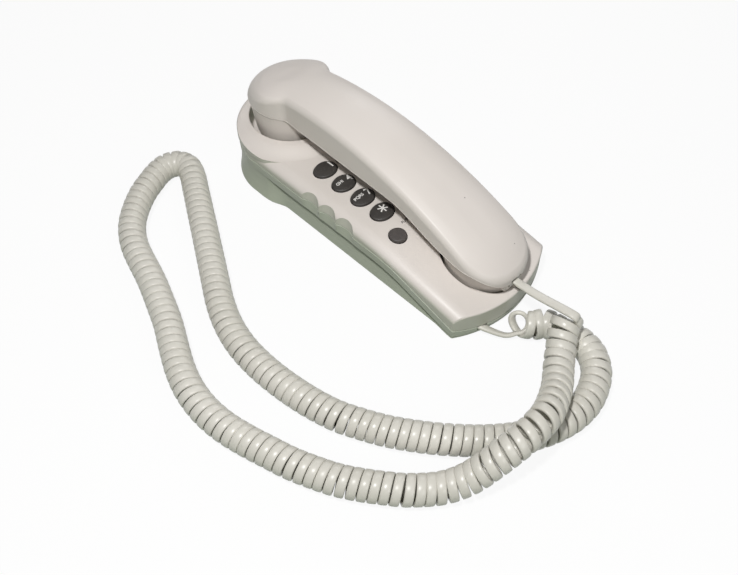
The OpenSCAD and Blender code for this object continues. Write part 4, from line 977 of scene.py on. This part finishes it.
class Mat:
    """A node material round one Principled shader."""

    def __init__(self, name, rough, metal=0.0):
        self.mat = bpy.data.materials.new(name)
        self.mat.use_nodes = True
        self.t = self.mat.node_tree
        self.b = given(self.t.nodes["Principled BSDF"], Roughness=rough, Metallic=metal, IOR=IOR)
        self.co = self.t.nodes.new("ShaderNodeTexCoord").outputs["Object"]

    def node(self, kind, **values):
        n = self.t.nodes.new(kind)
        for key, value in values.items():
            if key in n.inputs:
                n.inputs[key].default_value = value
            else:
                setattr(n, key, value)
        return n

    def link(self, a, b):
        self.t.links.new(a, b)

    def noise(self, scale, detail):
        n = self.node("ShaderNodeTexNoise", Scale=scale, Detail=detail, Roughness=0.5)
        self.link(self.co, n.inputs["Vector"])
        return n.outputs["Fac"]

    def spots(self, scale):
        n = self.node("ShaderNodeTexVoronoi", Scale=scale)
        self.link(self.co, n.inputs["Vector"])
        return n.outputs["Distance"]

    def ramp(self, value, stops):
        n = self.t.nodes.new("ShaderNodeValToRGB")
        e = n.color_ramp.elements
        while len(e) < len(stops):
            e.new(0.5)
        for i, (pos, col) in enumerate(stops):
            e[i].position = pos
            e[i].color = (*col, 1)
        self.link(value, n.inputs["Fac"])
        return n.outputs["Color"]

    def mix(self, fac, a, b):
        """From a plain colour to the colour of a socket, by another socket."""
        n = self.t.nodes.new("ShaderNodeMix")
        n.data_type = "RGBA"
        self.link(fac, n.inputs[0])
        n.inputs[6].default_value = (*a, 1)
        self.link(b, n.inputs[7])
        return n.outputs[2]

    def span(self, value, low, high, a=0.0, b=1.0):
        n = self.node("ShaderNodeMapRange")
        for key, v in (("From Min", low), ("From Max", high), ("To Min", a), ("To Max", b)):
            n.inputs[key].default_value = v
        self.link(value, n.inputs["Value"])
        return n.outputs["Result"]

    def colour(self, socket):
        self.link(socket, self.b.inputs["Base Color"])

    def roughness(self, scale, detail, low, high):
        self.link(self.span(self.noise(scale, detail), 0.3, 0.7, low, high), self.b.inputs["Roughness"])

    def bump(self, scale, detail, strength, distance=0.0002):
        height = self.noise(scale, detail)
        n = self.node("ShaderNodeBump", Strength=strength, Distance=distance)
        self.link(height, n.inputs["Height"])
        self.link(n.outputs["Normal"], self.b.inputs["Normal"])


def rgb(r, g, b):
    """Screen colour to linear."""
    return tuple((c/255/12.92 if c/255 <= 0.04045 else ((c/255 + 0.055)/1.055)**2.4) for c in (r, g, b))


def shell_plastic(name, light, dark, side=None):
    """Moulded plastic with faint specks; upright faces can get painted shade, a darker and greener tone of their own.
    """
    m = Mat(name, 0.42)
    tone = m.ramp(m.noise(9.0, 3.0), [(0.35, dark), (0.65, light)])
    if side:
        # Painted shade: faces that stand upright blend towards the darker, greener side colour
        way = m.node("ShaderNodeSeparateXYZ")
        m.link(m.node("ShaderNodeNewGeometry").outputs["True Normal"], way.inputs[0])
        tone = m.mix(m.span(way.outputs["Z"], 0.1, 0.7), side, tone)
    # Dark specks, in a few places only
    clean = m.node("ShaderNodeMath", operation="MAXIMUM")
    m.link(m.span(m.spots(170.0), 0.05, 0.07), clean.inputs[0])
    m.link(m.span(m.noise(26.0, 2.0), 0.62, 0.66, 1.0, 0.0), clean.inputs[1])
    m.colour(m.mix(clean.outputs[0], tuple(c*0.45 for c in dark), tone))
    m.roughness(40.0, 4.0, 0.36, 0.5)
    m.bump(2600.0, 2.0, 0.12)
    return m.mat


cream = shell_plastic("cream_plastic", rgb(226, 219, 213), rgb(219, 212, 205))
# The deck's cover, with painted shade on its upright faces
deck_cream_shaded_sides = shell_plastic("deck_plastic_shaded_sides", rgb(226, 219, 213), rgb(218, 211, 204), rgb(190, 191, 177))
# Bottom cover: painted shade, the whole plastic darker and greener than the deck, with a painted green cast of bounced
# light
low_cream_painted_shade = shell_plastic("low_plastic_painted_shade", rgb(178, 183, 167), rgb(171, 177, 160))


def key_plastic(name, dark, light):
    m = Mat(name, 0.45)
    tone = m.ramp(m.noise(60.0, 3.0), [(0.3, dark), (0.7, light)])
    dust = m.span(m.spots(900.0), 0.10, 0.16)
    m.colour(m.mix(dust, rgb(104, 100, 96), tone))
    m.roughness(90.0, 3.0, 0.4, 0.55)
    m.bump(3000.0, 2.0, 0.15)
    return m.mat


def cord_vinyl():
    m = Mat("cord_vinyl", 0.3)
    m.colour(m.ramp(m.noise(14.0, 3.0), [(0.35, rgb(208, 205, 195)), (0.65, rgb(219, 216, 207))]))
    m.roughness(60.0, 3.0, 0.25, 0.38)
    m.bump(900.0, 3.0, 0.1)
    return m.mat


def ink(name, colour, under):
    m = Mat(name, 0.5)
    m.colour(m.ramp(m.noise(1500.0, 2.0), [(0.25, under), (0.42, colour)]))
    m.bump(2500.0, 2.0, 0.1, 0.0001)
    return m.mat


def moulded(name, light, dark, rough):
    m = Mat(name, rough)
    m.colour(m.ramp(m.noise(80.0, 3.0), [(0.3, dark), (0.7, light)]))
    m.roughness(120.0, 3.0, rough - 0.06, rough + 0.08)
    m.bump(1800.0, 2.0, 0.15)
    return m.mat


def metal(name, light, dark, rough):
    m = Mat(name, rough, 1.0)
    m.colour(m.ramp(m.noise(150.0, 4.0), [(0.3, dark), (0.7, light)]))
    m.roughness(300.0, 3.0, rough - 0.08, rough + 0.1)
    m.bump(900.0, 3.0, 0.12)
    return m.mat


def put(mat, *objs):
    for o in objs:
        o.data.materials.clear()
        o.data.materials.append(mat)


charcoal = key_plastic("key_plastic", rgb(58, 55, 53), rgb(68, 65, 62))
round_charcoal = key_plastic("round_key_plastic", rgb(76, 72, 70), rgb(88, 83, 81))
put(cream, hand_back, hand_front)
put(deck_cream_shaded_sides, top_shell)
put(low_cream_painted_shade, bottom_shell)
put(charcoal, *caps.values())
put(round_charcoal, caps["flash"], caps["redial"])
put(cord_vinyl(), main_cord, lead_cord)
put(ink("key_ink", rgb(232, 230, 226), rgb(190, 187, 182)), *white_marks)
put(ink("deck_ink", rgb(86, 84, 84), rgb(120, 117, 114)), *dark_marks)

rubber = moulded("grey_rubber", rgb(92, 90, 86), rgb(74, 72, 69), 0.75)
black = moulded("black_rubber", rgb(38, 37, 36), rgb(24, 24, 24), 0.7)
dark_plastic = moulded("dark_plastic", rgb(66, 68, 66), rgb(50, 52, 51), 0.45)
mat_rubber = moulded("mat_rubber", rgb(196, 194, 188), rgb(180, 178, 172), 0.7)
board = moulded("board_green", rgb(46, 92, 58), rgb(36, 76, 48), 0.5)
clear = moulded("plug_plastic", rgb(205, 204, 196), rgb(190, 188, 180), 0.25)
ivory = moulded("ivory_plastic", rgb(222, 216, 200), rgb(210, 203, 187), 0.45)
steel = metal("steel", rgb(190, 190, 188), rgb(150, 150, 148), 0.35)
brass = metal("brass", rgb(206, 172, 104), rgb(178, 144, 84), 0.4)
put(steel, spring)
FINISH = {
    rubber: ("base_feet", "ringer_slider"),
    black: ("receiver_gasket", "microphone_boot"),
    dark_plastic: ("hook_switch", "ringer_switch", "line_jack", "base_cord_jack", "receiver"),
    cream: ("handset_jack",),
    mat_rubber: ("key_mat",),
    board: ("keypad_board",),
    clear: ("base_cord_plug", "handset_cord_plug"),
    ivory: ("hook_plunger",),
    steel: ("base_screws", "board_screws", "handset_screws", "handset_weight", "microphone"),
    brass: ("ringer_disc",),
}
for finish, names in FINISH.items():
    put(finish, *(NODES[n] for n in names))


# Floor, light and background

FLOOR_HALF, FLOOR_DROP, FLOOR_WHITE = 3, 0.0003, 0.92
FLOOR_RGB, BOUNCE_RGB, WHITE = (0.86, 0.86, 0.85, 1), (0.13, 0.19, 0.10, 1), (1, 1, 1, 1)
SKY = 0.1


def any_ray(tree, *kinds):
    """1 for rays of these kinds."""
    path = tree.nodes.new("ShaderNodeLightPath")
    seen = path.outputs[kinds[0]]
    for kind in kinds[1:]:
        either = tree.nodes.new("ShaderNodeMath")
        either.operation = "MAXIMUM"
        tree.links.new(seen, either.inputs[0])
        tree.links.new(path.outputs[kind], either.inputs[1])
        seen = either.outputs[0]
    return seen


def mixed(tree, share, a, b):
    """Two shaders in one; the share is a number or a socket."""
    n = tree.nodes.new("ShaderNodeMixShader")
    if isinstance(share, float):
        n.inputs[0].default_value = share
    else:
        tree.links.new(share, n.inputs[0])
    tree.links.new(a.outputs[0], n.inputs[1])
    tree.links.new(b.outputs[0], n.inputs[2])
    return n


bm = bmesh.new()
bmesh.ops.create_grid(bm, x_segments=8, y_segments=8, size=FLOOR_HALF)
floor_mesh = bpy.data.meshes.new("floor")
bm.to_mesh(floor_mesh)
bm.free()
floor = add("floor", floor_mesh)
floor.location.z = -FLOOR_DROP
fm = bpy.data.materials.new("floor_white")
fm.use_nodes = True
ft = fm.node_tree
fb = given(ft.nodes["Principled BSDF"], Base_Color=FLOOR_RGB, Roughness=0.9, Specular_IOR_Level=0.0)
glow = given(ft.nodes.new("ShaderNodeEmission"), Color=WHITE, Strength=1.0)
bounce = given(ft.nodes.new("ShaderNodeBsdfDiffuse"), Color=BOUNCE_RGB)
seen = any_ray(ft, "Is Camera Ray", "Is Glossy Ray", "Is Transmission Ray")
surface = mixed(ft, seen, bounce, mixed(ft, FLOOR_WHITE, fb, glow))
ft.links.new(surface.outputs[0], ft.nodes["Material Output"].inputs["Surface"])
floor_mesh.materials.append(fm)

world = bpy.data.worlds.new("studio")
scene.world = world
world.use_nodes = True
wt = world.node_tree
sky = given(wt.nodes["Background"], Color=WHITE, Strength=SKY)
backdrop = given(wt.nodes.new("ShaderNodeBackground"), Color=WHITE, Strength=1.0)
surround = mixed(wt, any_ray(wt, "Is Camera Ray"), sky, backdrop)
wt.links.new(surround.outputs[0], wt.nodes["World Output"].inputs["Surface"])


AIM = Vector((0, 0, 0.03))


def lamp(name, place, size, power):
    """Round area lamp aimed at the phone."""
    data = bpy.data.lights.new(name, "AREA")
    data.shape = "DISK"
    data.size = size
    data.energy = power
    obj = add(name, data)
    obj.location = place
    obj.rotation_euler = (AIM - Vector(place)).to_track_quat("-Z", "Y").to_euler()


lamp("key", (-0.28, -0.14, 0.62), 0.05, 3.2)
lamp("fill", (-0.20, -0.60, 0.42), 0.3, 0.95)
lamp("rear", (0.45, 0.32, 0.40), 0.3, 0.75)
